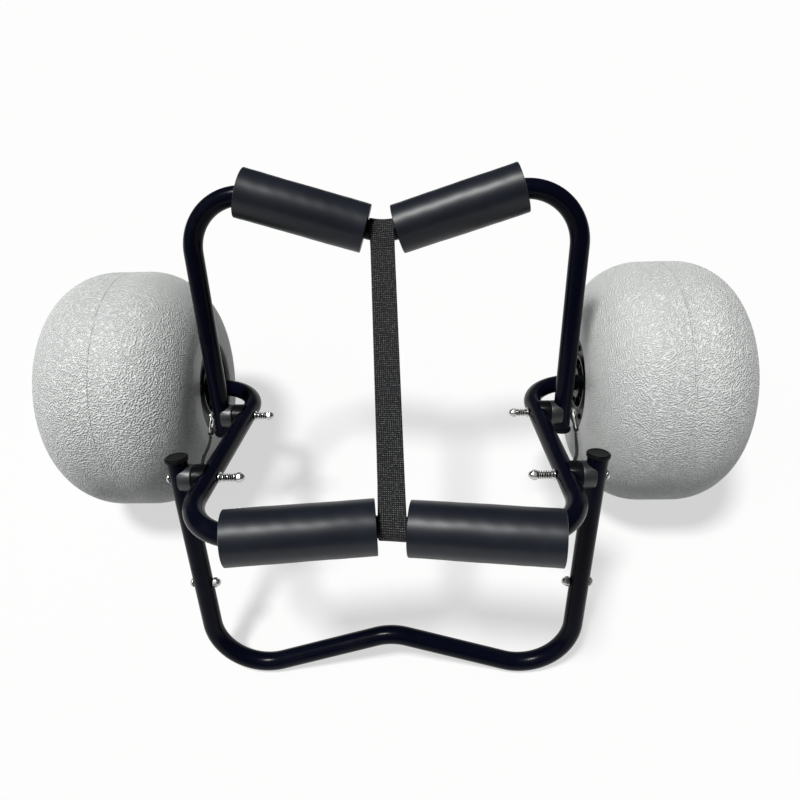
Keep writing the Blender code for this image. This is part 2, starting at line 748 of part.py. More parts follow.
def lanyards():
    """A cord from each ring to the kickstand hinge below it."""
    for name, sign in sides():
        node = "lanyard_" + name
        curve = bpy.data.curves.new(node, "CURVE")
        curve.dimensions = "3D"
        curve.bevel_depth = CORD_R
        curve.bevel_resolution = 2
        curve.render_resolution_u = 0
        curve.use_fill_caps = True
        spline = curve.splines.new("POLY")
        points = lanyard_points(sign)
        spline.points.add(len(points) - 1)
        for slot, point in zip(spline.points, points):
            slot.co = (*point, 1)
        cord = bpy.data.objects.new(node, curve)
        bpy.context.collection.objects.link(cord)
        curve.materials.append(cord_fabric())


# Webbing strap
def bar_reach(x, reach, corner_x, dip):
    """How far out the middle of a V bar's centre line lies at a place across it."""
    slope = math.atan2(dip, corner_x)
    apex = reach - dip + BEND_R * (1 / math.cos(slope) - 1)
    if abs(x) < BEND_R * math.sin(slope):
        return apex + BEND_R - math.sqrt(BEND_R ** 2 - x * x)
    return reach - dip + abs(x) * math.tan(slope)


def rear_bar(x):
    """Centre of the rear cradle's bar at a place across it, in the YZ plane."""
    return REAR_PIVOT + REAR_DIR * bar_reach(x, REAR_REACH, REAR_CORNER_X, REAR_DIP)


def front_bar(x):
    """Centre of the front cradle's bar at a place across it, in the YZ plane."""
    return AXLE + FRONT_DIR * bar_reach(x, FRONT_REACH, FRONT_CORNER_X, FRONT_DIP)


def strap_contours():
    """The strap's side view as (along, across) pairs from the rear bar's centre: edge, then eyes."""
    length = (front_bar(STRAP_FRONT_X) - rear_bar(STRAP_REAR_X)).length
    inner_r = TUBE_R + 2 * GAP
    outer_r = inner_r + STRAP_T
    ends = ((0, 1, STRAP_REAR_SEAM), (length, -1, STRAP_FRONT_SEAM))
    edge = []
    for start, way, seam in ends:
        spread = math.acos((outer_r - STRAP_T) / seam)
        arc = [spread + 2 * (math.pi - spread) * i / 10 for i in range(11)]
        edge += [(start + way * outer_r * math.cos(a), way * outer_r * math.sin(a)) for a in arc]
        edge += [(start + way * seam, -way * STRAP_T), (start + way * (seam + STRAP_SEWN_L), -way * STRAP_T),
                 (start + way * (seam + STRAP_SEWN_L + STRAP_T), -way * STRAP_T / 2)]
        other_start, other_way, other_seam = ends[1] if way == 1 else ends[0]
        edge += [(other_start + other_way * (other_seam + STRAP_SEWN_L + STRAP_T), -way * STRAP_T / 2),
                 (other_start + other_way * (other_seam + STRAP_SEWN_L), -way * STRAP_T),
                 (other_start + other_way * other_seam, -way * STRAP_T)]
    eyes = []
    for start, way, seam in ends:
        tip = seam - STRAP_T
        spread = math.acos(inner_r / tip)
        corner_r = inner_r / math.cos((math.pi - spread) / 10)
        arc = [spread + 2 * (math.pi - spread) * i / 10 for i in range(11)]
        eye = [(start + way * corner_r * math.cos(a), way * corner_r * math.sin(a)) for a in arc]
        eyes.append(eye + [(start + way * tip, 0)])
    return [edge] + eyes, length


def strap_point(along, across, side_share, length):
    """Where a point of the strap's side view lies, for a share of -1 to 1 across its width."""
    share = along / length
    shift = side_share * STRAP_W / 2
    near = rear_bar(STRAP_REAR_X)
    way = (front_bar(STRAP_FRONT_X) - near).normalized()
    side = Vector((0, -way.z, way.y))
    held = min(max(share, 0), 1)
    drape = ((rear_bar(STRAP_REAR_X + shift) - near) * (1 - held)
             + (front_bar(STRAP_FRONT_X + shift) - front_bar(STRAP_FRONT_X)) * held)
    point = near + way * along + side * across + drape
    return Vector((STRAP_REAR_X + (STRAP_FRONT_X - STRAP_REAR_X) * held + shift, point.y, point.z))


def strap():
    """Webbing from bar to bar, its ends looped round the bars and sewn back on themselves."""
    contours, length = strap_contours()
    stations = [i / 2 - 1 for i in range(5)]
    bm = bmesh.new()
    ends = {stations[0]: [], stations[-1]: []}
    for contour in contours:
        rows = [[bm.verts.new(strap_point(along, across, share, length)) for along, across in contour]
                for share in stations]
        for low, high in zip(rows, rows[1:]):
            for i in range(len(low)):
                j = (i + 1) % len(low)
                bm.faces.new((low[i], low[j], high[j], high[i]))
        for share, row in ((stations[0], rows[0]), (stations[-1], rows[-1])):
            ends[share] += [bm.edges.get((row[i - 1], row[i])) for i in range(len(row))]
    for edges in ends.values():
        bmesh.ops.triangle_fill(bm, edges=edges, use_beauty=False)
    bmesh.ops.recalc_face_normals(bm, faces=bm.faces)
    mesh = bpy.data.meshes.new("webbing_strap")
    bm.to_mesh(mesh)
    bm.free()
    place("webbing_strap", mesh, None, webbing())


# Wheels
def tyre_section():
    """Closed section of the tyre for a turned shell that is open at its bore, as (x, radius)."""
    flat = WHEEL_HALF_W - SHOULDER_R
    side_r = WHEEL_R - SHOULDER_R
    bore = HUB_BARREL_R + BORE_PLAY
    seat = WHEEL_HALF_W - HUB_RECESS - HUB_DISC_T - GAP
    shelf = HUB_DISC_R + 2 * GAP
    outer = [(flat + SHOULDER_R * math.cos(a), side_r + SHOULDER_R * math.sin(a)) for a in quarter(5)]
    outer += [(WHEEL_HALF_W, shelf), (seat, shelf), (seat, bore)]
    thin = SHOULDER_R - TYRE_WALL
    inner = [(flat + thin * math.cos(a), side_r + thin * math.sin(a)) for a in quarter(3)]
    inner += [(flat + thin, shelf + TYRE_WALL), (seat - TYRE_WALL, shelf + TYRE_WALL),
              (seat - TYRE_WALL, bore)]
    return outer + inner[::-1] + [(-x, r) for x, r in inner] + [(-x, r) for x, r in outer[::-1]]


def quarter(steps):
    """Angles from the crown down to the side."""
    return [math.pi / 2 * (1 - i / steps) for i in range(steps + 1)]


def wheel(name, sign, spin):
    """One wheel about its own empty on the axle: tyre, two hub halves and the bush in them."""
    place("tyre_" + name, turned("tyre", tyre_section(), TYRE_SEGMENTS, loop=True), spin, tyre_skin())
    for face, way in (("inner", -sign), ("outer", sign)):
        place("hub_" + face + "_" + name, turned("hub", hub_profile(way), HUB_SEGMENTS, loop=True),
              spin, black_plastic())
    place("hub_bush_" + name, turned("bush", bush_profile(sign), 16, loop=True), spin, black_plastic())


def hub_profile(way):
    """Turned section of a hub half that faces along way, with its dished face and centre sleeve."""
    face = WHEEL_HALF_W - HUB_RECESS
    back = face - HUB_DISC_T
    web = face - HUB_WEB_DEPTH
    cup_r = HUB_BARREL_R - HUB_BARREL_WALL
    sleeve_in = TUBE_R + BORE_PLAY + BUSH_WALL + BORE_PLAY
    sleeve_out = sleeve_in + HUB_SLEEVE_WALL
    sleeve_end = web - HUB_WEB_T - HUB_SLEEVE_TAIL
    section = [(GAP / 2, cup_r), (GAP / 2, HUB_BARREL_R), (back, HUB_BARREL_R), (back, HUB_DISC_R),
               (face, HUB_DISC_R), (face, cup_r), (web, cup_r), (web, sleeve_out),
               (face + HUB_SLEEVE_PROUD, sleeve_out), (face + HUB_SLEEVE_PROUD, sleeve_in),
               (sleeve_end, sleeve_in), (sleeve_end, sleeve_out),
               (web - HUB_WEB_T, sleeve_out), (web - HUB_WEB_T, cup_r)]
    return [(way * x, r) for x, r in section]


def bush_profile(way):
    """Turned section of the bush that runs through both hub sleeves, its flange on the way side."""
    end = WHEEL_HALF_W - HUB_RECESS + HUB_SLEEVE_PROUD
    inner = TUBE_R + BORE_PLAY
    outer = inner + BUSH_WALL
    section = [(-end, inner), (-end, outer), (end + GAP, outer), (end + GAP, BUSH_FLANGE_R),
               (end + GAP + BUSH_FLANGE_T, BUSH_FLANGE_R), (end + GAP + BUSH_FLANGE_T, inner)]
    return [(way * x, r) for x, r in section]


def clear_scene():
    """Removes what a new file starts with."""
    for old in list(bpy.data.objects):
        bpy.data.objects.remove(old, do_unlink=True)


def main():
    """Every piece, under the empty of the frame that carries it."""
    clear_scene()
    front = frame_empty("front_frame", AXLE, math.pi - FRONT_SLOPE)
    rear = frame_empty("rear_pivot", REAR_PIVOT, REAR_SLOPE)
    kick = frame_empty("kick_pivot", KICK_PIVOT, math.pi + KICK_SLOPE)
    front_cradle(front)
    axle_fittings(front)
    pads(front, "front", front_path(), STRAP_FRONT_X, FRONT_CORNER_X, FRONT_DIP)
    rear_cradle(rear)
    kickstand(kick)
    hinges(front, rear, kick)
    hinge_bolts(front)
    kick_cross_bolts(kick)
    lanyard_rings()
    lanyards()
    strap()
    for name, sign in sides():
        spin = frame_empty("wheel_spin_" + name, AXLE + Vector((sign * WHEEL_X, 0, 0)), 0)
        wheel(name, sign, spin)


main()
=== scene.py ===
"""Looks of a folding boat launching trolley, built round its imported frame.

Every new piece is a surface worked out with numpy: a section carried along a path, or a profile
turned about an axis. Lengths are metres, +X runs along the axle, -Y faces the kickstand, +Z is up.
"""

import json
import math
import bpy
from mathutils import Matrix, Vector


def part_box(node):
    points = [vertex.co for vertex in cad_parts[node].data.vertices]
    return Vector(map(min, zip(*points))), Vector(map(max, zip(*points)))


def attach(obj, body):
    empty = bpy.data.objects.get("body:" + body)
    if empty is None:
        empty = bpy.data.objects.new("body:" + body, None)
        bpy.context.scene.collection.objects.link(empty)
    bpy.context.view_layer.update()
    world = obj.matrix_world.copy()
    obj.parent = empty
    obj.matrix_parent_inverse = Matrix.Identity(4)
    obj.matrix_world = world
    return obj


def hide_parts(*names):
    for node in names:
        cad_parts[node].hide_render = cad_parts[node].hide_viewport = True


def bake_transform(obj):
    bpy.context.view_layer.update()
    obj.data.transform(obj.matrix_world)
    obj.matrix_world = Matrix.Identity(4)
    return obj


bl_info = {
    "name": "Boat Launching Trolley",
    "version": (1, 0, 0),
    "blender": (4, 5, 0),
    "location": "View3D > Sidebar > Trolley",
    "description": "Builds the looks of a folding boat launching trolley",
    "category": "Add Mesh",
}

import bmesh
import bpy
import numpy as np
from bpy.props import FloatProperty, FloatVectorProperty, PointerProperty
from mathutils import Matrix, Vector

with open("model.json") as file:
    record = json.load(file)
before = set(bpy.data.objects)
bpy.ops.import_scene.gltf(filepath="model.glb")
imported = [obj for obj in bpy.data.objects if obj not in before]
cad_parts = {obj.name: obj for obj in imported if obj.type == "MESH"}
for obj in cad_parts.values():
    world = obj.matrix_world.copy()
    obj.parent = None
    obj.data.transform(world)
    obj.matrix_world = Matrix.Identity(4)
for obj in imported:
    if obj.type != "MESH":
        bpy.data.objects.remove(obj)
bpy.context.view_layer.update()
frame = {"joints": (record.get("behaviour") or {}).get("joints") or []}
SIDES = (("left", -1), ("right", 1))
UP = np.array([0.0, 0.0, 1.0])
ACROSS = np.array([1.0, 0.0, 0.0])


# Sizes and colours that a user would change
def length_of(name, description, default):
    return FloatProperty(name=name, description=description, default=default, unit="LENGTH")


def slope_of(name, description, degrees):
    return FloatProperty(name=name, description=description, default=math.radians(degrees),
                         subtype="ANGLE")


def colour_of(name, description, default):
    return FloatVectorProperty(name=name, description=description, default=default,
                               subtype="COLOR")


class TrolleySizes(bpy.types.PropertyGroup):
    tube_radius: length_of("Tube radius", "Outer radius of the frame tube", 0.011)
    tube_wall: length_of("Tube wall", "Wall of the frame tube", 0.0015)
    bend_radius: length_of("Bend radius", "Centre line radius of the tube bends", 0.062)
    front_tilt: slope_of("Front tilt", "Slope of the front cradle", 20.4)
    rear_tilt: slope_of("Rear tilt", "Slope of the rear cradle", 67.2)
    pad_radius: length_of("Pad radius", "Outer radius of the foam pads", 0.0275)
    pad_length: length_of("Pad length", "Length of a foam pad along its bar", 0.144)
    strap_width: length_of("Strap width", "Width of the webbing", 0.027)
    strap_thickness: length_of("Strap thickness", "Thickness of one layer of webbing", 0.0018)


class TrolleyColours(bpy.types.PropertyGroup):
    coat: colour_of("Powder coat", "Colour of the frame tubes", (0.0020, 0.0026, 0.0080))
    foam: colour_of("Foam", "Colour of the pads", (0.0080, 0.0100, 0.0160))
    webbing: colour_of("Webbing", "Colour of the strap", (0.0040, 0.0042, 0.0055))
    tyre: colour_of("Tyre", "Colour of the balloon tyres", (0.74, 0.76, 0.75))
    plastic: colour_of("Plastic", "Colour of hubs, caps and inner hinge halves",
                       (0.0040, 0.0042, 0.0050))
    hinge: colour_of("Outer hinge halves", "Colour of the outer hinge halves",
                     (0.020, 0.021, 0.024))
    steel: colour_of("Steel", "Colour of bolts, nuts and springs", (0.66, 0.66, 0.65))


def sizes():
    return bpy.context.scene.trolley_sizes


def colours():
    return bpy.context.scene.trolley_colours


# Places, read from the frame
def joint_place(name):
    """A joint's position as an array."""
    return np.array(next(j["pos_m"] for j in frame["joints"] if j["name"] == name), float)


WHEEL_RIGHT = joint_place("wheel_right_spin")
AXLE, WHEEL_X = WHEEL_RIGHT * (0, 1, 1), WHEEL_RIGHT[0]
REAR_PIVOT = joint_place("rear_cradle_fold")
KICK_PIVOT = joint_place("kickstand_fold")

# Each frame lies in a plane of its own. X is how far a corner stands from the middle, reach how
# far out from the frame's pivot, dip how deep the V of the bar is, and tail how far the tube
# goes on behind the pivot.
FRONT_NECK_X, FRONT_CORNER_X = 0.1795, 0.1975
FRONT_REACH, FRONT_DIP = 0.3357, 0.0222
REAR_REACH, REAR_DIP, REAR_CORNER_X, REAR_TAIL = 0.2906, 0.0670, 0.2196, 0.0210
KICK_REACH, KICK_DIP, KICK_CORNER_X, KICK_TAIL = 0.2749, 0.0644, 0.2104, 0.0211
# Reach of the seam between the kickstand's legs and its loop, and of the bolts below it
KICK_SEAM, KICK_BOLT = 0.112, 0.137
# Reach of the two pairs of hinges on the front frame
REAR_AT = float(np.linalg.norm(REAR_PIVOT - AXLE))
KICK_AT = float(np.linalg.norm(KICK_PIVOT - AXLE))
HINGE_SPACING, HINGE_RADIUS = 0.0315, 0.015
CAP_HEIGHT, CAP_RADIUS = 0.0045, 0.0127
CLEAR = 0.0003  # gap between pieces that touch
BOLT_HOLE = 0.0033  # radius of the hole that a hinge bolt passes through


def leg_x(foot_x, corner_x, corner_reach):
    """A leg's distance from the middle as a function of reach: it widens evenly to its corner."""
    return lambda reach: foot_x + (corner_x - foot_x) * reach / corner_reach


front_leg_x = leg_x(FRONT_NECK_X, FRONT_CORNER_X, FRONT_REACH)
REAR_X = front_leg_x(REAR_AT) + HINGE_SPACING
KICK_X = front_leg_x(KICK_AT) + HINGE_SPACING
rear_leg_x = leg_x(REAR_X, REAR_CORNER_X, REAR_REACH)
kick_leg_x = leg_x(KICK_X, KICK_CORNER_X, KICK_REACH)


class Plane:
    """A frame's own plane: X across, and reach out from a pivot along a tilted direction."""

    def __init__(self, origin, direction):
        self.origin = np.array(origin, float)
        self.out = np.array(direction, float)
        self.normal = np.cross(ACROSS, self.out)

    def at(self, points):
        """World places of (x, reach) pairs."""
        points = np.atleast_2d(points)
        return self.origin + points[:, :1] * ACROSS + points[:, 1:2] * self.out


def front_plane():
    tilt = sizes().front_tilt
    return Plane(AXLE, (0, -math.cos(tilt), math.sin(tilt)))


def rear_plane():
    tilt = sizes().rear_tilt
    return Plane(REAR_PIVOT, (0, math.cos(tilt), math.sin(tilt)))


def kick_plane():
    """The kickstand's plane, as steep as it takes to set its loop on the ground."""
    longest = rounded(kick_corners(KICK_SEAM), sizes().bend_radius, 24)[:, 1].max()
    drop = (KICK_PIVOT[2] - sizes().tube_radius) / longest
    return Plane(KICK_PIVOT, (0, -math.sqrt(1 - drop * drop), -drop))


def axle_end():
    """How far the axle's tube reaches to each side, where its caps begin."""
    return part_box("axle_cap_right")[1].x - CAP_HEIGHT


def u_corners(foot_x, foot, corner_x, reach, dip):
    """Corners of a U, as (x, reach), whose bar dips to a V in its middle."""
    return [(-foot_x, foot), (-corner_x, reach), (0, reach - dip), (corner_x, reach),
            (foot_x, foot)]


def front_corners():
    frame_u = u_corners(FRONT_NECK_X, 0, FRONT_CORNER_X, FRONT_REACH, FRONT_DIP)
    return [(-axle_end(), 0), *frame_u, (axle_end(), 0)]


def rear_corners():
    return u_corners(rear_leg_x(-REAR_TAIL), -REAR_TAIL, REAR_CORNER_X, REAR_REACH, REAR_DIP)


def kick_corners(start):
    return u_corners(kick_leg_x(start), start, KICK_CORNER_X, KICK_REACH, KICK_DIP)


# Curves
def unit(vector):
    """A vector made one long."""
    vector = np.asarray(vector, float)
    return vector / np.linalg.norm(vector)


def rounded(corners, radius, steps):
    """Corner points joined by straight runs, each inner corner replaced by an arc.

    The arc of the given radius touches both runs at radius * tan(turn / 2) from the corner.
    A radius may be given for each corner.
    """
    corners = np.array(corners, float)
    radii = np.broadcast_to(np.asarray(radius, float), len(corners))
    path = [corners[:1]]
    for before, corner, after, r in zip(corners, corners[1:], corners[2:], radii[1:]):
        back, ahead = before - corner, after - corner
        back_l, ahead_l = np.linalg.norm(back), np.linalg.norm(ahead)
        back, ahead = back / back_l, ahead / ahead_l
        opening = math.acos(max(-1, min(1, float(back @ ahead))))
        reach = r / math.tan(opening / 2)
        if r < 1e-7 or math.pi - opening < 1e-3:
            path.append(corner[None])
            continue
        reach = min(reach, 0.49 * back_l, 0.49 * ahead_l)
        r = reach * math.tan(opening / 2)
        bisector = (back + ahead) / np.linalg.norm(back + ahead)
        centre = corner + bisector * r / math.sin(opening / 2)
        first = corner + back * reach - centre
        last = corner + ahead * reach - centre
        t = np.linspace(0, 1, steps + 1)[:, None]
        turn = math.pi - opening
        arc = (np.sin((1 - t) * turn) * first + np.sin(t * turn) * last) / math.sin(turn)
        path.append(centre + arc)
    path.append(corners[-1:])
    return np.vstack(path)


def bent(corners):
    """A frame's centre line: its corners, rounded by the bends of the tube."""
    return rounded(corners, sizes().bend_radius, 28)


def lengths(path):
    """Distance along a path at each point."""
    return np.concatenate([[0], np.cumsum(np.linalg.norm(np.diff(path, axis=0), axis=1))])


def points_at(path, at):
    """Points of a path at given distances along it."""
    along = lengths(path)
    return np.stack([np.interp(at, along, column) for column in path.T], axis=1)


def stretch(path, start, stop, step):
    """Evenly spaced points of a path between two distances measured from its middle."""
    half = lengths(path)[-1] / 2
    low, high = sorted((start + half, stop + half))
    return points_at(path, np.linspace(low, high, max(2, int(round((high - low) / step)) + 1)))


def smooth_through(points, per_span):
    """A Catmull-Rom curve: each span is a cubic whose slopes come from the points beside it."""
    p = np.array(points, float)
    p = np.vstack([2 * p[0] - p[1], p, 2 * p[-1] - p[-2]])
    t = np.linspace(0, 1, per_span, endpoint=False)[None, :, None]
    a, b, c, d = (p[i:len(p) - 3 + i][:, None] for i in range(4))
    curve = 0.5 * (2 * b + (c - a) * t + (2 * a - 5 * b + 4 * c - d) * t ** 2
                   + (3 * b - a - 3 * c + d) * t ** 3)
    return np.vstack([curve.reshape(-1, 3), p[-2:-1]])


def turn_angles(count):
    """Even angles once round, the last one short of the first."""
    return np.linspace(0, 2 * math.pi, count, endpoint=False)


def circle(sides, side, up):
    """Points round a unit circle: cos a side + sin a up."""
    a = turn_angles(sides)[:, None]
    return np.cos(a) * side + np.sin(a) * up


def tangents_of(path):
    """Direction of a path at each point: the mean of the runs before and after it."""
    runs = np.diff(path, axis=0)
    runs /= np.linalg.norm(runs, axis=1)[:, None]
    tangents = np.vstack([runs[:1], runs[:-1] + runs[1:], runs[-1:]])
    return tangents / np.linalg.norm(tangents, axis=1)[:, None]


def path_frames(path, normal=None):
    """Side and normal at each point of a path.

    With no normal given, one is carried along the path by projecting out each new tangent.
    """
    tangents = tangents_of(path)
    if normal is not None:
        normals = np.broadcast_to(np.asarray(normal, float), tangents.shape)
    else:
        start = ACROSS if abs(tangents[0, 0]) < 0.8 else UP
        normals = []
        for tangent in tangents:
            start = unit(start - tangent * (start @ tangent))
            normals.append(start)
        normals = np.array(normals)
    return np.cross(normals, tangents), normals


# Surfaces
def carried(path, radius, sides, normal=None):
    """Grid of a round section carried along a path: centre + r (cos a side + sin a normal)."""
    side, up = path_frames(path, normal)
    a = turn_angles(sides)[:, None]
    return path[:, None] + radius * (np.cos(a) * side[:, None] + np.sin(a) * up[:, None])


def turned(profile, sides, centre=(0, 0, 0), way=1):
    """Grid of an (x, radius) profile turned about the X axis through a centre."""
    a = turn_angles(sides)
    x = np.repeat(profile[:, :1] * way, sides, axis=1)
    r = profile[:, 1:]
    return np.stack([x, r * np.cos(a), r * np.sin(a)], axis=2) + np.array(centre)


def turned_along(section, centre, axis, sides):
    """Grid of an (along, radius) section turned about any axis."""
    axis = unit(axis)
    side = unit(np.cross(axis, UP if abs(axis[2]) < 0.9 else ACROSS))
    ring = circle(sides, side, np.cross(axis, side))
    return np.array(centre) + section[:, :1, None] * axis + section[:, 1:2, None] * ring[None]


def quads_of(points, loop):
    """Quads between neighbouring grid points, and metres along and round the grid at their corners.

    Columns always close on themselves, and rows do where loop is true.
    """
    rows, columns = points.shape[:2]
    i, j = np.meshgrid(np.arange(rows if loop else rows - 1), np.arange(columns), indexing="ij")
    i, j = i.reshape(-1, 1) + [0, 0, 1, 1], j.reshape(-1, 1) + [0, 1, 1, 0]
    along = lengths(np.vstack([points[:, 0], points[:1, 0]]))
    steps = np.linalg.norm(points - np.roll(points, -1, axis=1), axis=2).max(axis=0)
    around = np.concatenate([[0], steps.cumsum()])
    return i % rows * columns + j % columns, np.stack([along[i], around[j]], axis=-1)


def fan_of(points, ring, centre, order):
    """Triangles from a centre to the ring of points that they close off, and their flat map."""
    spread = np.linalg.norm(points - points.mean(axis=0), axis=1)[:, None]
    rim = spread * circle(len(ring), *np.eye(2))
    faces = np.stack([np.full(len(ring), centre), ring, np.roll(ring, -1)], axis=1)
    places = np.stack([np.zeros_like(rim), rim, np.roll(rim, -1, axis=0)], axis=1)
    return faces[:, order], places[:, order]


def piece(name, grids, look, body, replaces=(), sharp=35.0, caps=True):
    """One object from one or more grids of points, in one look.

    Each grid is (points, loop): points is rows by columns by 3, and loop says whether its rows
    close on themselves. Open ends are closed by a fan to their centre, unless caps is false.
    The piece's UV map holds metres along the rows and round the columns.
    """
    vertices, faces, uvs, count = [], [], [], 0

    def put(new_points, new_faces, places):
        vertices.append(new_points.reshape(-1, 3))
        faces.extend(new_faces.tolist())
        uvs.append(places.reshape(-1, 2))

    for points, loop in grids:
        rows, columns = points.shape[:2]
        quads, places = quads_of(points, loop)
        put(points, quads + count, places)
        middle = count + rows * columns
        if caps and not loop:
            for row, order in ((0, [0, 2, 1]), (rows - 1, [0, 1, 2])):
                ring = count + row * columns + np.arange(columns)
                put(points[row].mean(axis=0), *fan_of(points[row], ring, middle, order))
                middle += 1
        count = middle
    mesh = bpy.data.meshes.new(name)
    mesh.from_pydata(np.vstack(vertices).tolist(), [], faces)
    layer = mesh.uv_layers.new(name="surface")
    layer.data.foreach_set("uv", np.vstack(uvs).astype(np.float32).ravel())
    return finished(name, mesh, look, body, replaces, sharp)


def finished(name, mesh, look, body, replaces, sharp):
    """Merges doubles, points the faces outwards, shades smooth and hands the piece to its body.

    A body is a name, or for webbing that crosses a joint (from, to, start, end); such a tuple is
    not used for a bend, and the piece is only baked in place.
    """
    bm = bmesh.new()
    bm.from_mesh(mesh)
    bmesh.ops.remove_doubles(bm, verts=bm.verts, dist=2e-6)
    bmesh.ops.recalc_face_normals(bm, faces=bm.faces)
    bm.to_mesh(mesh)
    bm.free()
    mesh.shade_smooth()
    mesh.set_sharp_from_angle(angle=math.radians(sharp))
    made = bpy.data.objects.new(name, mesh)
    bpy.context.scene.collection.objects.link(made)
    mesh.materials.append(finish(look))
    if isinstance(body, str):
        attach(made, body)
    else:
        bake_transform(made)
    if replaces:
        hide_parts(*replaces)
    return made


# Shader maths
class Wire:
    """A node socket that takes part in plain arithmetic."""

    def __init__(self, nodes, socket):
        self.nodes, self.socket = nodes, socket

    def _with(self, operation, other, swapped=False):
        return self.nodes.maths(operation, *((other, self) if swapped else (self, other)))

    def __add__(self, other):
        return self._with("ADD", other)

    def __radd__(self, other):
        return self._with("ADD", other, True)

    def __sub__(self, other):
        return self._with("SUBTRACT", other)

    def __rsub__(self, other):
        return self._with("SUBTRACT", other, True)

    def __mul__(self, other):
        return self._with("MULTIPLY", other)

    def __rmul__(self, other):
        return self._with("MULTIPLY", other, True)

    def __abs__(self):
        return self.nodes.maths("ABSOLUTE", self)


class Finish:
    """A material under construction, with its Principled shader and the nodes that feed it."""

    def __init__(self, name):
        self.material = bpy.data.materials.new(name)
        self.material.use_nodes = True
        self.tree = self.material.node_tree
        self.shader = self.tree.nodes["Principled BSDF"]

    def add(self, kind, settings=None, values=None, out=0):
        """One node: its settings first, then the values or links of its sockets."""
        node = self.tree.nodes.new(kind)
        for key, value in (settings or {}).items():
            setattr(node, key, value)
        for key, value in (values or {}).items():
            if isinstance(value, Wire):
                self.tree.links.new(value.socket, node.inputs[key])
            else:
                node.inputs[key].default_value = value
        return Wire(self, node.outputs[out])

    def maths(self, operation, *values):
        """A Math node of one operation on values or sockets."""
        return self.add("ShaderNodeMath", {"operation": operation}, dict(enumerate(values)))

    def coordinates(self):
        return self.add("ShaderNodeTexCoord", out="Object")

    def part(self, vector, axis):
        """The X or Y of a vector, as axis 0 or 1."""
        return self.add("ShaderNodeSeparateXYZ", {}, {0: vector}, axis)

    def surface_map(self):
        """Metres along and round a piece, from its own UV map."""
        uv = self.add("ShaderNodeUVMap", {"uv_map": "surface"})
        return self.part(uv, 0), self.part(uv, 1)

    def noise(self, scale, detail, roughness, vector=None, distortion=0.0):
        """Noise of so many features a metre, in place unless a vector is given."""
        return self.add("ShaderNodeTexNoise", {}, {
            "Vector": vector or self.coordinates(), "Scale": scale, "Detail": detail,
            "Roughness": roughness, "Distortion": distortion})

    def step(self, value, low, high):
        """A smooth ramp from 0 to 1 as a value passes between two limits."""
        return self.add("ShaderNodeMapRange", {"interpolation_type": "SMOOTHSTEP"},
                        {0: value, 1: low, 2: high})

    def blend(self, share, first, second):
        """Colour mixed from first to second by a share."""
        pair = [c if isinstance(c, Wire) else (*c, 1) for c in (first, second)]
        return self.add("ShaderNodeMix", {"data_type": "RGBA"},
                        {0: share, 6: pair[0], 7: pair[1]}, 2)

    def bump(self, height, distance, strength):
        return self.add("ShaderNodeBump", {},
                        {"Height": height, "Distance": distance, "Strength": strength})

    def set(self, **values):
        """Values or links of the shader's own sockets, by name with _ for spaces."""
        for key, value in values.items():
            socket = self.shader.inputs[key.replace("_", " ")]
            if isinstance(value, Wire):
                self.tree.links.new(value.socket, socket)
            else:
                socket.default_value = (*value, 1) if np.ndim(value) and len(value) == 3 else value
        return self


MATERIALS = {}


def finish(name):
    """A material by name, made when it is first asked for."""
    if name not in MATERIALS:
        MATERIALS[name] = RECIPES[name](Finish(name)).material
    return MATERIALS[name]


def powder_coat(f):
    """Black powder coat: faint orange peel, a little dust and fine rubbed patches."""
    colour = tuple(colours().coat)
    peel = f.noise(900, 2.0, 0.5)
    dust = f.step(f.noise(35, 5.0, 0.65), 0.52, 0.78)
    scuff = f.step(f.noise(160, 6.0, 0.7, distortion=0.6), 0.64, 0.74)
    base = f.blend(dust * 0.22, colour, (0.014, 0.015, 0.018))
    return f.set(Base_Color=f.blend(scuff * 0.12, base, (0.03, 0.03, 0.033)),
                 Roughness=0.22 + dust * 0.10 + scuff * 0.14,
                 Normal=f.bump(peel, 0.00005, 0.3), IOR=1.17)


def foam(f):
    """Closed cell foam: a smooth satin skin over fine pits, with paler cloudy patches."""
    colour = tuple(colours().foam)
    pits = f.add("ShaderNodeTexVoronoi", {"feature": "F1"},
                 {"Vector": f.coordinates(), "Scale": 1500.0})
    grain = f.noise(2600, 2.0, 0.6)
    cloud = f.noise(28, 4.0, 0.6)
    pale = tuple(c * 1.9 for c in colour)
    base = f.blend(f.step(cloud, 0.35, 0.75) * 0.35, colour, pale)
    height = pits * 0.6 + grain * 0.5
    return f.set(Base_Color=f.blend(f.step(grain, 0.55, 0.75) * 0.25, base, pale),
                 Roughness=0.37 + cloud * 0.06, Normal=f.bump(height, 0.00007, 0.3), IOR=1.42)


def webbing(f):
    """Woven webbing: ribs across it, broken by the warp, with short glints painted on the ribs as a
    pale colour.
    """
    rib_pitch, warp_pitch = 0.0022, 0.0021
    along, across = f.surface_map()
    rib = f.maths("SINE", along * (2 * math.pi / rib_pitch))
    pick = f.maths("SINE", across * (2 * math.pi / warp_pitch))
    fibre = f.noise(1100, 4.0, 0.7)
    breaks = f.step(f.noise(420, 2.0, 0.5), 0.42, 0.60)
    weave = rib * 0.55 + pick * 0.30
    # Painted highlight: the ribs' glints, on the weave's high crests and broken up by noise.
    high = f.step(weave + fibre * 0.5, 0.55, 0.95) * (0.25 + breaks * 0.75)
    colour = tuple(colours().webbing)
    # Painted highlight: the pale grey mixed in here is the ribs' glints, painted into the colour.
    return f.set(Base_Color=f.blend(high * 0.6, colour, (0.30, 0.305, 0.31)),
                 Roughness=0.60 - high * 0.25, Normal=f.bump(weave + fibre * 0.5, 0.00045, 0.9),
                 Specular_IOR_Level=0.3)


def stitch_thread(f):
    """Sewing thread, its twist a fine light and dark fleck."""
    twist = f.noise(3000, 2.0, 0.5)
    return f.set(Base_Color=f.blend(twist, (0.012, 0.012, 0.014), (0.10, 0.10, 0.105)),
                 Roughness=0.5, Specular_IOR_Level=0.3)


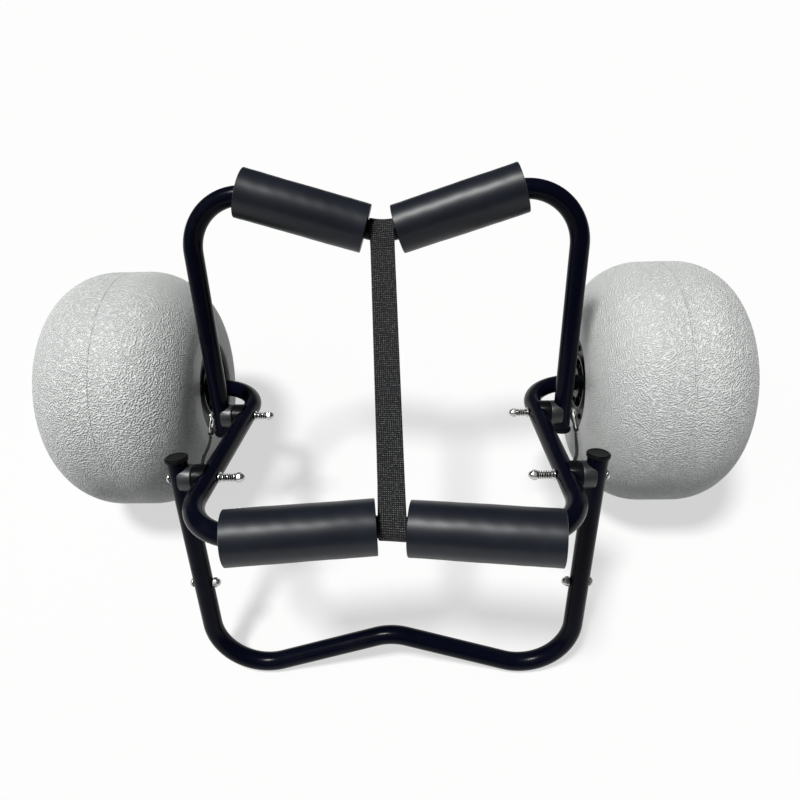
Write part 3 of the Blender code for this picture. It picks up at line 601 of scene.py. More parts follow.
def braided_cord(f):
    """Braided cord: two families of strands that cross round it, some of them paler, with painted
    shade in the grooves between the strands.
    """
    waves = 3600  # radians a metre
    along, around = f.surface_map()
    height = f.maths("MAXIMUM", f.maths("SINE", (along + around) * waves),
                     f.maths("SINE", (along - around) * waves))
    fleck = f.step(f.noise(520, 2.0, 0.5), 0.50, 0.62)
    # Painted shade: the grooves between strands are darker and the crests paler, following the
    # bump's height.
    base = f.blend(f.step(height, 0.2, 1.0) * 0.6, (0.004, 0.004, 0.004), (0.028, 0.028, 0.026))
    return f.set(Base_Color=f.blend(fleck * 0.45, base, (0.15, 0.15, 0.135)), Roughness=0.7,
                 Normal=f.bump(height, 0.0003, 0.8), Specular_IOR_Level=0.25)


def tyre_skin(f):
    """Silver vinyl with a leather grain: short worm-like wrinkles, crossed by creases that lie
    where slow noise passes its middle value, over finer flecks. The grain stops short of the hub,
    and a moulding seam runs round the middle of the tread. Light and shade are painted into its
    colour: the grained skin is painted darker, as shade between the wrinkles, its raised wrinkles
    paler, as highlight, and the seam's groove darker, as shade."""
    colour = tuple(colours().tyre)
    painted_groove_shade, darker, paler = (tuple(min(1, c * share) for c in colour)
                              for share in (0.3, 0.70, 1.15))
    place = f.coordinates()
    worms = f.add("ShaderNodeTexGabor", {"gabor_type": "3D"}, {
        "Vector": place, "Scale": 195.0, "Frequency": 2.1, "Anisotropy": 0.35,
        "Orientation": (0.5, 0.6, 0.62)})
    lines = 1 - f.step(abs(f.noise(190, 1.0, 0.5, place, 1.2) - 0.5), 0.0, 0.085)
    creases = f.step(worms, 0.34, 0.66) * 0.85 + lines * 0.25
    fine = f.noise(700, 2.0, 0.6, place, 0.6)
    cloud = f.noise(7, 3.0, 0.5)
    grained = f.add("ShaderNodeAttribute", {"attribute_name": "grain"}, {}, 2)
    seam = abs(f.part(place, 0)) - float(WHEEL_X)
    groove = 1 - f.step(abs(seam + 0.0005), 0.0, 0.0008)
    ridge = 1 - f.step(abs(seam - 0.0009), 0.0, 0.0010)
    height = (creases + fine * 0.12) * (0.04 + grained * 0.96) - groove * 0.35 + ridge * 0.35
    # Painted highlight: the raised wrinkles of the grain, where the colour turns paler.
    fleck = f.step(creases, 0.35, 0.75) * grained
    base = f.blend(f.step(cloud, 0.3, 0.75) * 0.22, colour, darker)
    # Painted shade and highlight: the grained skin is painted darker, and its raised wrinkles
    # paler.
    base = f.blend(fleck * 0.8, f.blend(grained * 0.55, base, darker), paler)
    # Painted shade: the seam's groove is painted darker.
    base = f.blend(groove * 0.25, base, painted_groove_shade)
    return f.set(Base_Color=base, Roughness=0.33 + (1 - grained) * 0.08 + cloud * 0.06,
                 Normal=f.bump(height, 0.00115, 1.0), IOR=1.60)


def hub_plastic(f):
    """Black moulded plastic."""
    return moulded(f, tuple(colours().plastic), 0.25, 1.18)


def hinge_plastic(f):
    """Dark grey moulded plastic with a soft sheen."""
    return moulded(f, tuple(colours().hinge), 0.34, 1.55)


def moulded(f, colour, rough, shine):
    """Moulded nylon: fine spark erosion grain, faint flow marks and dust."""
    grain = f.noise(2400, 2.0, 0.6)
    flow = f.noise(60, 5.0, 0.6, distortion=1.0)
    paler = tuple(c * 2.0 + 0.004 for c in colour)
    return f.set(Base_Color=f.blend(f.step(flow, 0.45, 0.8) * 0.35, colour, paler),
                 Roughness=rough + flow * 0.12, Normal=f.bump(grain, 0.00007, 0.35), IOR=shine)


def stainless(f):
    """Stainless steel: fine turning marks and slight smears."""
    colour = tuple(colours().steel)
    smear = f.noise(220, 5.0, 0.6)
    dull = tuple(c * 0.78 for c in colour)
    return f.set(Base_Color=f.blend(smear, colour, dull), Metallic=1.0,
                 Roughness=0.22 + smear * 0.14,
                 Normal=f.bump(f.noise(1800, 2.0, 0.5), 0.00004, 0.3))


def bright_wire(f):
    """Drawn steel wire with a soft bright sheen."""
    draw = f.noise(900, 3.0, 0.5)
    return f.set(Base_Color=f.blend(draw, (0.95, 0.95, 0.94), (0.80, 0.80, 0.79)),
                 Metallic=1.0, Roughness=0.42 + draw * 0.08)


def painted_shade_steel(f):
    """Steel painted dark as shade, as on a bolt's thread inside its spring, mottled by noise."""
    shade_mottle = f.noise(600, 4.0, 0.6)
    # Painted shade: the thread's dark colour stands for the shade inside the spring.
    return f.set(Base_Color=f.blend(shade_mottle, (0.012, 0.012, 0.012), (0.07, 0.068, 0.062)),
                 Metallic=0.6, Roughness=0.42 + shade_mottle * 0.2)


RECIPES = {"black_powder_coat": powder_coat, "charcoal_foam": foam, "black_webbing": webbing,
           "stitch_thread": stitch_thread, "black_cord": braided_cord,
           "silver_vinyl": tyre_skin, "black_plastic": hub_plastic,
           "hinge_plastic": hinge_plastic, "stainless_steel": stainless,
           "bright_wire": bright_wire, "painted_shade_steel": painted_shade_steel}


# Frame tubes
def tube(name, plane, path2, body, node):
    """A coated tube along a bent path, its ends turned in to a blind bore."""
    r = sizes().tube_radius
    hole, ease, depth = r - sizes().tube_wall, 0.0004, 0.006
    path = plane.at(path2)
    skin = carried(path, r, 40, plane.normal)
    mouths = []
    for end, inner, ring in ((path[0], path[1], skin[0]), (path[-1], path[-2], skin[-1])):
        edge = ring_at(ring, end, hole)
        mouths.append([edge + unit(inner - end) * depth, edge, ring_at(ring, end, r - ease)])
    grid = np.concatenate([mouths[0], skin, mouths[1][::-1]])
    piece(name, [(grid, False)], "black_powder_coat", body, [node], 50)


def ring_at(ring, centre, radius):
    """A ring of points drawn to another radius about its centre."""
    out = ring - centre
    return centre + out / np.linalg.norm(out, axis=1)[:, None] * radius


def end_cap(name, end, outward, body, node):
    """A plastic cap: an upright wall, a chamfer, a rim, a sunk centre and the plug behind it."""
    plug_r, plug_end = sizes().tube_radius - sizes().tube_wall - CLEAR, -0.0065
    top, r, floor = CAP_HEIGHT, CAP_RADIUS, CAP_HEIGHT - 0.0005
    section = rounded([(plug_end, 0.0), (plug_end, plug_r), (CLEAR, plug_r), (CLEAR, r),
                       (top - 0.00105, r), (top, r - 0.00195), (top, r - 0.00260),
                       (floor, r - 0.0032), (floor, 0.0)],
                      [0, 0.0004, 0.0003, 0.0003, 0.0006, 0.0005, 0.0002, 0.0003, 0], 4)
    grid = turned_along(section, end, outward, 40)
    piece(name, [(grid, False)], "black_plastic", body, [node], 40, False)


class TROLLEY_OT_front_cradle(bpy.types.Operator):
    """Front cradle: the tube that is bent on into both axle ends, with the caps on those ends"""
    bl_idname = "trolley.front_cradle"
    bl_label = "Front Cradle"

    def execute(self, context):
        tube("front_tube", front_plane(), bent(front_corners()), "front_frame", "front_cradle_tube")
        for name, sign in SIDES:
            end_cap("axle_end_cap_" + name, AXLE + sign * axle_end() * ACROSS, sign * ACROSS,
                    "front_frame", "axle_cap_" + name)
        return {"FINISHED"}


class TROLLEY_OT_rear_cradle(bpy.types.Operator):
    """Rear cradle: a U of tube with capped lower ends"""
    bl_idname = "trolley.rear_cradle"
    bl_label = "Rear Cradle"

    def execute(self, context):
        plane, path = rear_plane(), bent(rear_corners())
        tube("rear_tube", plane, path, "rear_cradle", "rear_cradle_tube")
        world = plane.at(path)
        for name, (end, inner) in (("left", world[:2]), ("right", world[:-3:-1])):
            end_cap("rear_end_cap_" + name, end, end - inner, "rear_cradle",
                    "rear_cradle_cap_" + name)
        return {"FINISHED"}


class TROLLEY_OT_kickstand(bpy.types.Operator):
    """Kickstand: two capped legs joined to a bent loop"""
    bl_idname = "trolley.kickstand"
    bl_label = "Kickstand"

    def execute(self, context):
        plane = kick_plane()
        tube("kickstand_hoop", plane, bent(kick_corners(KICK_SEAM + CLEAR)), "kickstand",
             "kickstand_loop")
        for name, sign in SIDES:
            leg = [(sign * kick_leg_x(reach), reach) for reach in (-KICK_TAIL, KICK_SEAM)]
            tube("kickstand_upper_" + name, plane, leg, "kickstand", "kickstand_leg_" + name)
            end, inner = plane.at(leg)
            end_cap("kickstand_end_cap_" + name, end, end - inner, "kickstand",
                    "kickstand_cap_" + name)
        return {"FINISHED"}


# Foam pads
def pad(name, plane, path2, start, stop, body, node, seed):
    """A straight foam sleeve on a bar, with slow and very shallow dents in its skin.

    The sleeve's axis is the bar's own line at its inner end. Where the bar bends away inside it,
    the bore's centre is shifted by the same amount and stretched by the bar's slope to the axis.
    """
    bore = sizes().tube_radius + CLEAR
    overrun, spacing, settled = 0.02, 0.0022, 12
    bar = plane.at(stretch(path2, start, stop + math.copysign(overrun, stop - start), spacing))
    if stop < start:
        bar = bar[::-1]
    axis = unit(bar[settled] - bar[0])
    side, up = np.cross(plane.normal, axis), plane.normal
    along = np.linspace(0, abs(stop - start), 66)
    shift = np.interp(along, (bar - bar[0]) @ axis, (bar - bar[0]) @ side)
    slope = np.gradient(shift, along)
    line = bar[0] + along[:, None] * axis
    a = turn_angles(72)
    s = along[:, None] / along[-1]
    wave = (0.00009 * np.sin(2 * math.pi * (1.3 * s + seed) + 2 * a[None])
            + 0.00007 * np.sin(2 * math.pi * (2.7 * s - seed) + 3 * a[None] + 1.1)
            + 0.00004 * np.sin(2 * math.pi * (7.1 * s + 2 * seed) - 5 * a[None]))
    radius = sizes().pad_radius - 0.0002 + wave
    ring = circle(72, side, up)
    skin = line[:, None] + radius[..., None] * ring
    ease = 0.0008
    first = line[0] + ring * (radius[0, :, None] - ease)
    last = line[-1] + ring * (radius[-1, :, None] - ease)
    skin[0] += axis * ease * 0.7
    skin[-1] -= axis * ease * 0.7
    sideways = shift[:, None] + bore * np.cos(a) * np.hypot(1, slope)[:, None]
    inner = line[:, None] + sideways[..., None] * side + (bore * np.sin(a))[None, :, None] * up
    grid = np.concatenate([first[None], skin, last[None], inner[::-1]])
    made = piece(name, [(grid, True)], "charcoal_foam", body, [node], 48)


def bar_slope(x, corner_x, dip):
    """How much a V bar slopes at a place across it, where its middle is rounded."""
    straight = math.atan2(dip, corner_x)
    bend = sizes().bend_radius
    return math.asin(abs(x) / bend) if abs(x) < bend * math.sin(straight) else straight


STRAP_FRONT_X, STRAP_REAR_X = 0.0108, -0.0022  # where the strap sits on each bar
PAD_CLEARANCE = 0.0014


class TROLLEY_OT_pads(bpy.types.Operator):
    """Four foam pads, one each side of the strap on both cradles"""
    bl_idname = "trolley.pads"
    bl_label = "Foam Pads"

    def execute(self, context):
        for label, plane, corners, body, strap_x, corner_x, dip, turn in (
                ("front", front_plane(), front_corners(), "front_frame",
                 STRAP_FRONT_X, FRONT_CORNER_X, FRONT_DIP, 0.0),
                ("rear", rear_plane(), rear_corners(), "rear_cradle",
                 STRAP_REAR_X, REAR_CORNER_X, REAR_DIP, 0.2)):
            for name, sign in SIDES:
                edge = strap_x + sign * (sizes().strap_width / 2 + PAD_CLEARANCE)
                lean = bar_slope(edge, corner_x, dip)
                raised = sizes().tube_radius + sizes().strap_thickness
                start = edge + sign * raised * math.sin(lean)
                stop = start + sign * sizes().pad_length
                pad(f"{label}_foam_{name}", plane, bent(corners), start, stop, body,
                    f"{label}_pad_{name}", 0.37 * sign + turn)
        return {"FINISHED"}


# Webbing strap
# From each bar to where the webbing meets itself, and how far it is sewn together from there
STRAP_FRONT_SEAM, STRAP_REAR_SEAM, STRAP_SEWN = 0.040, 0.024, 0.016


def bar_reach(x, reach, corner_x, dip):
    """How far out the middle of a V bar's centre line lies at places across it."""
    bend = sizes().bend_radius
    slope = math.atan2(dip, corner_x)
    apex = reach - dip + bend * (1 / math.cos(slope) - 1)
    x = np.abs(np.asarray(x, float))
    arc = apex + bend - np.sqrt(np.maximum(bend ** 2 - x * x, 0))
    return np.where(x < bend * math.sin(slope), arc, reach - dip + x * math.tan(slope))


def on_bar(plane, x, *bar):
    """Places on a V bar's centre line, all with the X of the pivot."""
    return plane.origin + np.multiply.outer(bar_reach(x, *bar), plane.out)


def rear_bar(x):
    return on_bar(rear_plane(), x, REAR_REACH, REAR_CORNER_X, REAR_DIP)


def front_bar(x):
    return on_bar(front_plane(), x, FRONT_REACH, FRONT_CORNER_X, FRONT_DIP)


def strap_line():
    """The strap's route in its side view, as (along, across): from a sewn end, round the rear bar,
    down the long run, round the front bar and back to the other sewn end."""
    t = sizes().strap_thickness
    r = sizes().tube_radius + 2 * CLEAR + t / 2
    length = float(np.linalg.norm(front_bar(STRAP_FRONT_X) - rear_bar(STRAP_REAR_X)))
    half = t / 2 + 0.00005
    joining, settle = 0.004, 0.012

    def loop(seam, way, start):
        spread = math.acos((r - half) / seam)
        a = np.linspace(spread, 2 * math.pi - spread, 40)
        arc = np.stack([r * np.cos(a), r * np.sin(a)], axis=1)
        ends = np.array([seam + STRAP_SEWN, seam + joining, seam])
        tail = np.stack([ends, np.full(3, half)], axis=1)
        line = np.vstack([tail, arc, (tail * (1, -1))[::-1]])
        return np.stack([start + way * line[:, 0], line[:, 1]], axis=1)

    rear = loop(STRAP_REAR_SEAM, 1, 0.0)
    front = loop(STRAP_FRONT_SEAM, -1, length)[::-1]
    run = [[STRAP_REAR_SEAM + STRAP_SEWN + settle, 0.0],
           [length - STRAP_FRONT_SEAM - STRAP_SEWN - settle, 0.0]]
    return np.vstack([rear, run, front]), length


def strap_place(along, across, share, length):
    """World places of the strap's side view, for shares of -1 to 1 across its width.

    Each end follows its own bar, so the webbing drapes over the bend in the bar's middle.
    """
    shift = share * sizes().strap_width / 2
    near = rear_bar(STRAP_REAR_X)
    way = unit(front_bar(STRAP_FRONT_X) - near)
    side = np.array([0, -way[2], way[1]])
    held = np.clip(along / length, 0, 1)[:, None]
    drape = ((rear_bar(STRAP_REAR_X + shift) - near) * (1 - held)
             + (front_bar(STRAP_FRONT_X + shift) - front_bar(STRAP_FRONT_X)) * held)
    point = near + along[:, None] * way + across[:, None] * side + drape
    point[:, 0] = (STRAP_REAR_X + (STRAP_FRONT_X - STRAP_REAR_X) * held[:, 0]) + shift
    return point


def webbing_strip(name, line, length, body, nodes):
    """Webbing as a flat loop section carried along its route, with rounded selvedges.

    The section is a thin rectangle with eased edges. Its points are offset from the route along
    the route's own normal, so that the thickness stays even round the bars.
    """
    tangent = tangents_of(line)
    normal = np.stack([-tangent[:, 1], tangent[:, 0]], axis=1)
    across = np.linspace(-1, 1, 15)
    selvedge = ((np.abs(across) - 0.94) / 0.06).clip(0) ** 2
    edge = 0.47 * sizes().strap_thickness * np.sqrt(np.clip(1 - selvedge, 0.12, 1))
    columns = [*zip(across, edge), *zip(across[::-1], -edge[::-1])]
    grid = [strap_place(*(line + normal * thick).T, share, length) for share, thick in columns]
    piece(name, [(np.stack(grid, axis=1), False)], "black_webbing", body, nodes, 60)


def stitch_grids(along, length, side):
    """A row of stitches across the webbing: short threads that dive in at both their ends."""
    count, outermost, thread_r = 8, 0.82, 0.00038
    t = np.linspace(0, 1, 7)
    lift = sizes().strap_thickness + 0.00005
    rise = lift + 0.00042 * np.sin(math.pi * t) - 0.00015
    grids = []
    for k in range(count):
        share = -outermost + (k + 0.12 + 0.76 * t) * 2 * outermost / count
        path = strap_place(np.full(len(t), along), side * rise, share, length)
        grids.append((carried(path, thread_r, 8), False))
    return grids


def dense(line, step):
    """A route with points no further apart than a step."""
    along = lengths(line)
    return points_at(line, np.unique(np.concatenate([along, np.arange(0, along[-1], step)])))


class TROLLEY_OT_strap(bpy.types.Operator):
    """Webbing strap, looped round both bars and sewn"""
    bl_idname = "trolley.strap"
    bl_label = "Webbing Strap"

    def execute(self, context):
        line, length = strap_line()
        front_seam = length - STRAP_FRONT_SEAM
        held = np.array([front_seam - STRAP_SEWN, STRAP_REAR_SEAM + STRAP_SEWN])
        bend = ("front_frame", "rear_cradle", *strap_place(held, np.zeros(2), 0, length))
        webbing_strip("strap_webbing", dense(line, 0.0008), length, bend, ["webbing_strap"])
        near, far = 0.003, 0.013
        rows = (STRAP_REAR_SEAM + near, STRAP_REAR_SEAM + far, front_seam - near, front_seam - far)
        grids = [grid for row in rows for side in (1, -1)
                 for grid in stitch_grids(row, length, side)]
        piece("strap_stitches", grids, "stitch_thread", bend, (), 60)
        return {"FINISHED"}


# Wheels
def tyre_profile():
    """Half of the balloon tyre's section and its mirror image, as (x, radius) from bead to bead."""
    half_w, shoulder, r = 0.100, 0.079, AXLE[2]
    flat, side_r = half_w - shoulder, r - shoulder
    a = np.linspace(0, math.pi / 2, 40)
    quarter = np.stack([flat + shoulder * np.cos(a), side_r + shoulder * np.sin(a)], axis=1)
    crown = np.linspace(flat, 0, 14)[1:]
    arc = np.vstack([quarter, np.stack([crown, np.full(13, r)], axis=1)])
    arc[:, 1] -= 0.0002
    bead_x, bead_r, hub_r = 0.0902, 0.0372, 0.0646
    lip = rounded([(bead_x, bead_r), (bead_x, hub_r), (half_w - 0.0004, hub_r), (half_w, side_r)],
                  [0, 0.0005, 0.0022, 0], 5)
    half = np.vstack([lip[:-1], arc])
    return np.vstack([half, (half * (-1, 1))[::-1][1:]])


def tyre(name, sign, centre):
    """The tyre, with an attribute that says where its skin is grained: not near the hub."""
    made = piece("balloon_tyre_" + name, [(turned(tyre_profile(), 160, centre, sign), False)],
                 "silver_vinyl", "wheel_" + name, ["tyre_" + name], 40, False)
    places = np.zeros(len(made.data.vertices) * 3, np.float32)
    made.data.vertices.foreach_get("co", places)
    _, y, z = (places.reshape(-1, 3) - centre).T
    smooth_r, fade = 0.084, 0.008
    grain = np.clip((np.hypot(y, z) - smooth_r) / fade, 0, 1)
    grain = grain * grain * (3 - 2 * grain)
    layer = made.data.attributes.new("grain", "FLOAT", "POINT")
    layer.data.foreach_set("value", grain.astype(np.float32))


def hub_section():
    """Section of a hub half from its barrel's inner edge round the disc into the dished web."""
    face, back, web, step, ledge = 0.095, 0.090, 0.077, 0.0014, 0.0035
    barrel_in, barrel, bearing, nose = 0.0322, 0.0365, 0.0192, 0.0146
    return rounded([(0.00015, barrel_in), (0.00015, barrel), (back, barrel), (back, 0.0640),
                    (face, 0.0640), (face, 0.0620), (face - step, 0.0610), (face - step, 0.0560),
                    (face - ledge, 0.0530), (face - ledge, 0.0400), (face, 0.0370),
                    (face, 0.0335), (web + 0.004, 0.0310), (web, 0.0290), (web, 0.0220),
                    (face + 0.002, 0.0205), (face + 0.002, nose), (0.0515, nose),
                    (0.0515, bearing), (web - 0.006, bearing), (web - 0.006, barrel_in)],
                   [0, .0003, .0003, .0004, .0006, .0003, .0005, .0008, .0012, .0012, .0010,
                    .0008, .0010, .0010, .0012, .0008, .0005, .0003, .0004, .0008, 0], 4)


def rib_grid(line, out):
    """A thin upright wall: a rounded rectangle carried along a line."""
    side = np.cross(ACROSS, out)
    a = turn_angles(20)
    half_w, half_h = 0.0011, 0.0068
    y = np.sign(np.cos(a)) * np.abs(np.cos(a)) ** 0.5 * half_w
    z = np.sign(np.sin(a)) * np.abs(np.sin(a)) ** 0.5 * half_h
    return line[:, None] + y[None, :, None] * side + z[None, :, None] * ACROSS


def hub(side, name, way, centre):
    """Half of a hub: its turned shell, six radial ribs across its dish, and four screws."""
    body = "wheel_" + name
    piece(f"hub_{side}_half_{name}", [(turned(hub_section(), 96, centre, way), True)],
          "black_plastic", body, [f"hub_{side}_{name}"], 38)

    ribs, rib_x, rib_from, rib_to = [], 0.0872, 0.0207, 0.0332
    for k in range(6):
        a = 2 * math.pi * k / 6 + 0.26
        out = np.array([0, math.cos(a), math.sin(a)])
        line = centre + way * rib_x * ACROSS + np.outer(np.linspace(rib_from, rib_to, 5), out)
        ribs.append((rib_grid(line, out), False))
    piece(f"hub_{side}_ribs_{name}", ribs, "black_plastic", body, (), 40)

    screws, screw_x, screw_r = [], 0.0915, 0.0465
    section = rounded([(-0.003, 0.0), (-0.003, 0.0022), (0.0, 0.0022), (0.0, 0.0043),
                       (0.0014, 0.0041), (0.0026, 0.0030), (0.0028, 0.0019), (0.0014, 0.0016),
                       (0.0013, 0.0)], 0.0003, 3)
    for k in range(4):
        a = 2 * math.pi * (k + 0.5) / 4
        at = centre + np.array([way * screw_x, screw_r * math.cos(a), screw_r * math.sin(a)])
        screws.append((turned(section, 28, at, way), False))
    piece(f"hub_{side}_screws_{name}", screws, "black_plastic", body, (), 35, False)


def bush(name, sign, centre):
    """The plain tube between axle and hub, with a flange on the hub's outer side."""
    r, end, wall = sizes().tube_radius, 0.097, 0.0031
    flange_r, flange_t = 0.0175, 0.0018
    section = rounded([(-end, r + CLEAR), (-end, r + wall), (end + CLEAR, r + wall),
                       (end + CLEAR, flange_r), (end + flange_t, flange_r),
                       (end + flange_t, r + CLEAR)], 0.0003, 3)
    piece("bush_" + name, [(turned(section, 48, centre, sign), True)], "black_plastic",
          "wheel_" + name, ["hub_bush_" + name])


def valve(name, sign, centre):
    """The tyre's valve: a moulded boss with a round cap, on the flat of the outer side."""
    at = centre + np.array([sign * 0.0995, 0, 0.0745])
    section = rounded([(-0.002, 0.0), (-0.002, 0.0072), (0.0004, 0.0070), (0.0012, 0.0046),
                       (0.0030, 0.0043), (0.0036, 0.0036), (0.0036, 0.0)], 0.0005, 3)
    piece("valve_" + name, [(turned(section, 36, at, sign), False)], "black_plastic",
          "wheel_" + name, (), 35, False)


class TROLLEY_OT_wheels(bpy.types.Operator):
    """Balloon wheels: tyre, hub halves with ribs and screws, bush and valve"""
    bl_idname = "trolley.wheels"
    bl_label = "Wheels"

    def execute(self, context):
        for name, sign in SIDES:
            centre = AXLE + sign * WHEEL_X * ACROSS
            tyre(name, sign, centre)
            hub("inner", name, -sign, centre)
            hub("outer", name, sign, centre)
            bush(name, sign, centre)
            valve(name, sign, centre)
        return {"FINISHED"}


# Hinges and fasteners
BOLT_R, RING_R, RING_WIRE, RING_LEAN = 0.003, 0.0135, 0.00075, math.radians(15.4)
RING_ROOM = RING_WIRE + CLEAR + (BOLT_R + 2 * RING_WIRE) * math.tan(RING_LEAN)


def hinge_half(name, plane, centre_x, reach, way, lean, look, body, node, spigot):
    """A barrel that hugs a tube: the tube side follows the tube's own roundness.

    Round the barrel at angle a the saddle's edge lies at sqrt(R^2 - (r sin a)^2) from the tube's
    centre line, where a is measured from the tube's direction, so the barrel ends on the tube.
    """
    tube_r = sizes().tube_radius + CLEAR
    centre = plane.origin + reach * plane.out
    sides = 96
    a = turn_angles(sides)
    radial = circle(sides, plane.out, plane.normal)
    face = HINGE_SPACING / 2 - CLEAR / 2
    ease, recess_r, spigot_r = 0.0012, 0.0088, 0.0085

    def saddle(r, least):
        """Distance from the tube's centre line to where its wall meets a barrel radius."""
        h = r * np.sin(a)
        return np.maximum(np.sqrt(np.maximum(tube_r ** 2 - h ** 2, 0)), least)

    stations = [(saddle(r, 0.0015), r) for r in np.linspace(BOLT_HOLE, HINGE_RADIUS - 0.0003, 16)]
    stations.append((saddle(HINGE_RADIUS, 0.0022) + 0.0002, HINGE_RADIUS))
    rim = rounded([(0.004, HINGE_RADIUS), (face, HINGE_RADIUS), (face, recess_r)], [0, ease, 0], 6)
    step_x, step_r = (face + 0.0014, spigot_r) if spigot else (face - 0.0018, recess_r)
    stations += [*rim[1:], (face, step_r), (step_x, step_r), (step_x, BOLT_HOLE)]
    rows = []
    for x, r in stations:
        x = np.broadcast_to(x, sides)
        shear = math.tan(lean) * r * np.cos(a)
        where = centre_x + way * x + np.where(x < face - 0.001, 1, 0) * shear
        rows.append(centre + r * radial + where[:, None] * ACROSS)
    piece(name, [(np.stack(rows), True)], look, body, [node])


class TROLLEY_OT_hinges(bpy.types.Operator):
    """Hinge halves on the tubes of all four pivots"""
    bl_idname = "trolley.hinges"
    bl_label = "Hinges"

    def execute(self, context):
        front = front_plane()
        front_lean = math.atan2(FRONT_CORNER_X - FRONT_NECK_X, FRONT_REACH)
        rear_lean = math.atan2(REAR_CORNER_X - REAR_X, REAR_REACH)
        kick_lean = math.atan2(KICK_CORNER_X - KICK_X, KICK_REACH)
        for name, sign in SIDES:
            for label, moving, body, reach, lean in (
                    ("rear", rear_plane(), "rear_cradle", REAR_AT, rear_lean),
                    ("kick", kick_plane(), "kickstand", KICK_AT, kick_lean)):
                x = sign * front_leg_x(reach)
                hinge_half(f"{label}_pivot_inner_{name}", front, x, reach, sign,
                           sign * front_lean, "black_plastic", "front_frame",
                           f"{label}_hinge_inner_{name}", True)
                hinge_half(f"{label}_pivot_outer_{name}", moving, x + sign * HINGE_SPACING, 0,
                           -sign, sign * lean, "hinge_plastic", body,
                           f"{label}_hinge_outer_{name}", False)
        return {"FINISHED"}


def steel(name, grids, body, node, caps=False):
    """A stainless steel fastener that stands for one node."""
    piece(name, grids, "stainless_steel", body, [node], 35, caps)


def bolt(name, grids, body, node):
    """A bolt's bright head and, as a piece of its own, its thread, painted dark as shade."""
    head, thread = grids
    steel(name, head, body, node)
    # Painted shade: the thread takes a dark finish that stands for the shade inside a spring.
    piece(name + "_thread", thread, "painted_shade_steel", body, (), 60, False)


def bolt_grids(centre, sign, under_head, tip):
    """A button head with its hex recess on a short plain shank, and the shank's thread, along X."""
    r, head_r, head_t = 0.00295, 0.0053, 0.0036
    thread_r, thread_depth, thread_pitch = 0.00275, 0.00018, 0.001
    plain = under_head - 0.002
    section = rounded([(plain, 0.0), (plain, r), (under_head, r), (under_head, head_r),
                       (under_head + 0.30 * head_t, head_r),
                       (under_head + 0.82 * head_t, 0.74 * head_r),
                       (under_head + head_t, 0.45 * head_r), (under_head + head_t, 0.0021),
                       (under_head + 0.45 * head_t, 0.0019), (under_head + 0.40 * head_t, 0.0)],
                      [0, .0005, 0, .0003, .0008, .0012, .0005, .0001, .0001, 0], 4)
    x = np.arange(plain - 0.0002, tip, -0.00025)
    wave = thread_r + thread_depth * np.cos(2 * math.pi * x / thread_pitch)
    thread = np.vstack([[x[0], 0.0], np.stack([x, wave], axis=1), [x[-1], 0.0]])
    return [(turned(section, 40, centre, sign), False)], [(turned(thread, 20, centre, sign), False)]


WASHER_T = 0.0013


def washer_grids(centre, sign, start, thickness=WASHER_T, radius=0.0062, hole=BOLT_HOLE):
    """A flat ring with eased edges, from start inwards."""
    section = rounded([(start, hole), (start, radius), (start - thickness, radius),
                       (start - thickness, hole), (start, hole)], 0.00025, 3)
    return [(turned(section[:-1], 40, centre, sign), True)]


def hexagon(radius_flat, sides):
    """Radius of a hexagon's outline at even angles, its corners slightly rounded."""
    a = turn_angles(sides)
    sector = (a + math.pi / 6) % (math.pi / 3) - math.pi / 6
    return np.minimum(radius_flat / np.cos(sector), radius_flat * 1.135)


def nut_grids(centre, sign, start, af=0.0100, hex_t=0.0050, dome_h=0.0040, sides=48):
    """A dome nut: a chamfered hexagon with a turned collar and a round cap, pointing inwards."""
    flat = af / 2
    shape = hexagon(flat, sides)
    rows = [(0.004, BOLT_HOLE), (0.0, BOLT_HOLE), (0.0, np.minimum(shape, flat * 0.96)),
            (0.0005, np.minimum(shape, flat * 1.06)), (0.0011, shape), (hex_t - 0.0009, shape),
            (hex_t - 0.0003, np.minimum(shape, flat * 1.05)),
            (hex_t, np.minimum(shape, flat * 0.97)), (hex_t + 0.0001, 0.90 * flat)]
    for angle in np.linspace(0.12, 1.0, 10) * math.pi / 2:
        rows.append((hex_t + dome_h * math.sin(angle), 0.88 * flat * math.cos(angle)))
    ring = circle(sides, *np.eye(3)[1:])
    grid = [np.array(centre) + sign * (start - x) * ACROSS
            + np.broadcast_to(r, sides)[:, None] * ring for x, r in rows]
    return [(np.stack(grid), False)]


def spring_grids(centre, sign, start, length, mean_r=0.0041, wire=0.0006, pitch=0.0024):
    """A compression spring: a wire carried along a helix about X, its end turns closed up flat."""
    turns = length / pitch
    t = np.linspace(0, 1, int(turns * 28))
    ease = np.clip(t * turns, 0, 1) ** 2 * 0.5 / turns
    climb = t - ease * (1 - t) + (np.clip((1 - t) * turns, 0, 1) ** 2 * 0.5 / turns) * t
    climb = (climb - climb[0]) / (climb[-1] - climb[0])
    x = start - wire - climb * (length - 2 * wire)
    a = 2 * math.pi * turns * t
    path = np.stack([sign * x, mean_r * np.cos(a), mean_r * np.sin(a)], axis=1) + np.array(centre)
    return [(carried(path, wire, 10), False)]


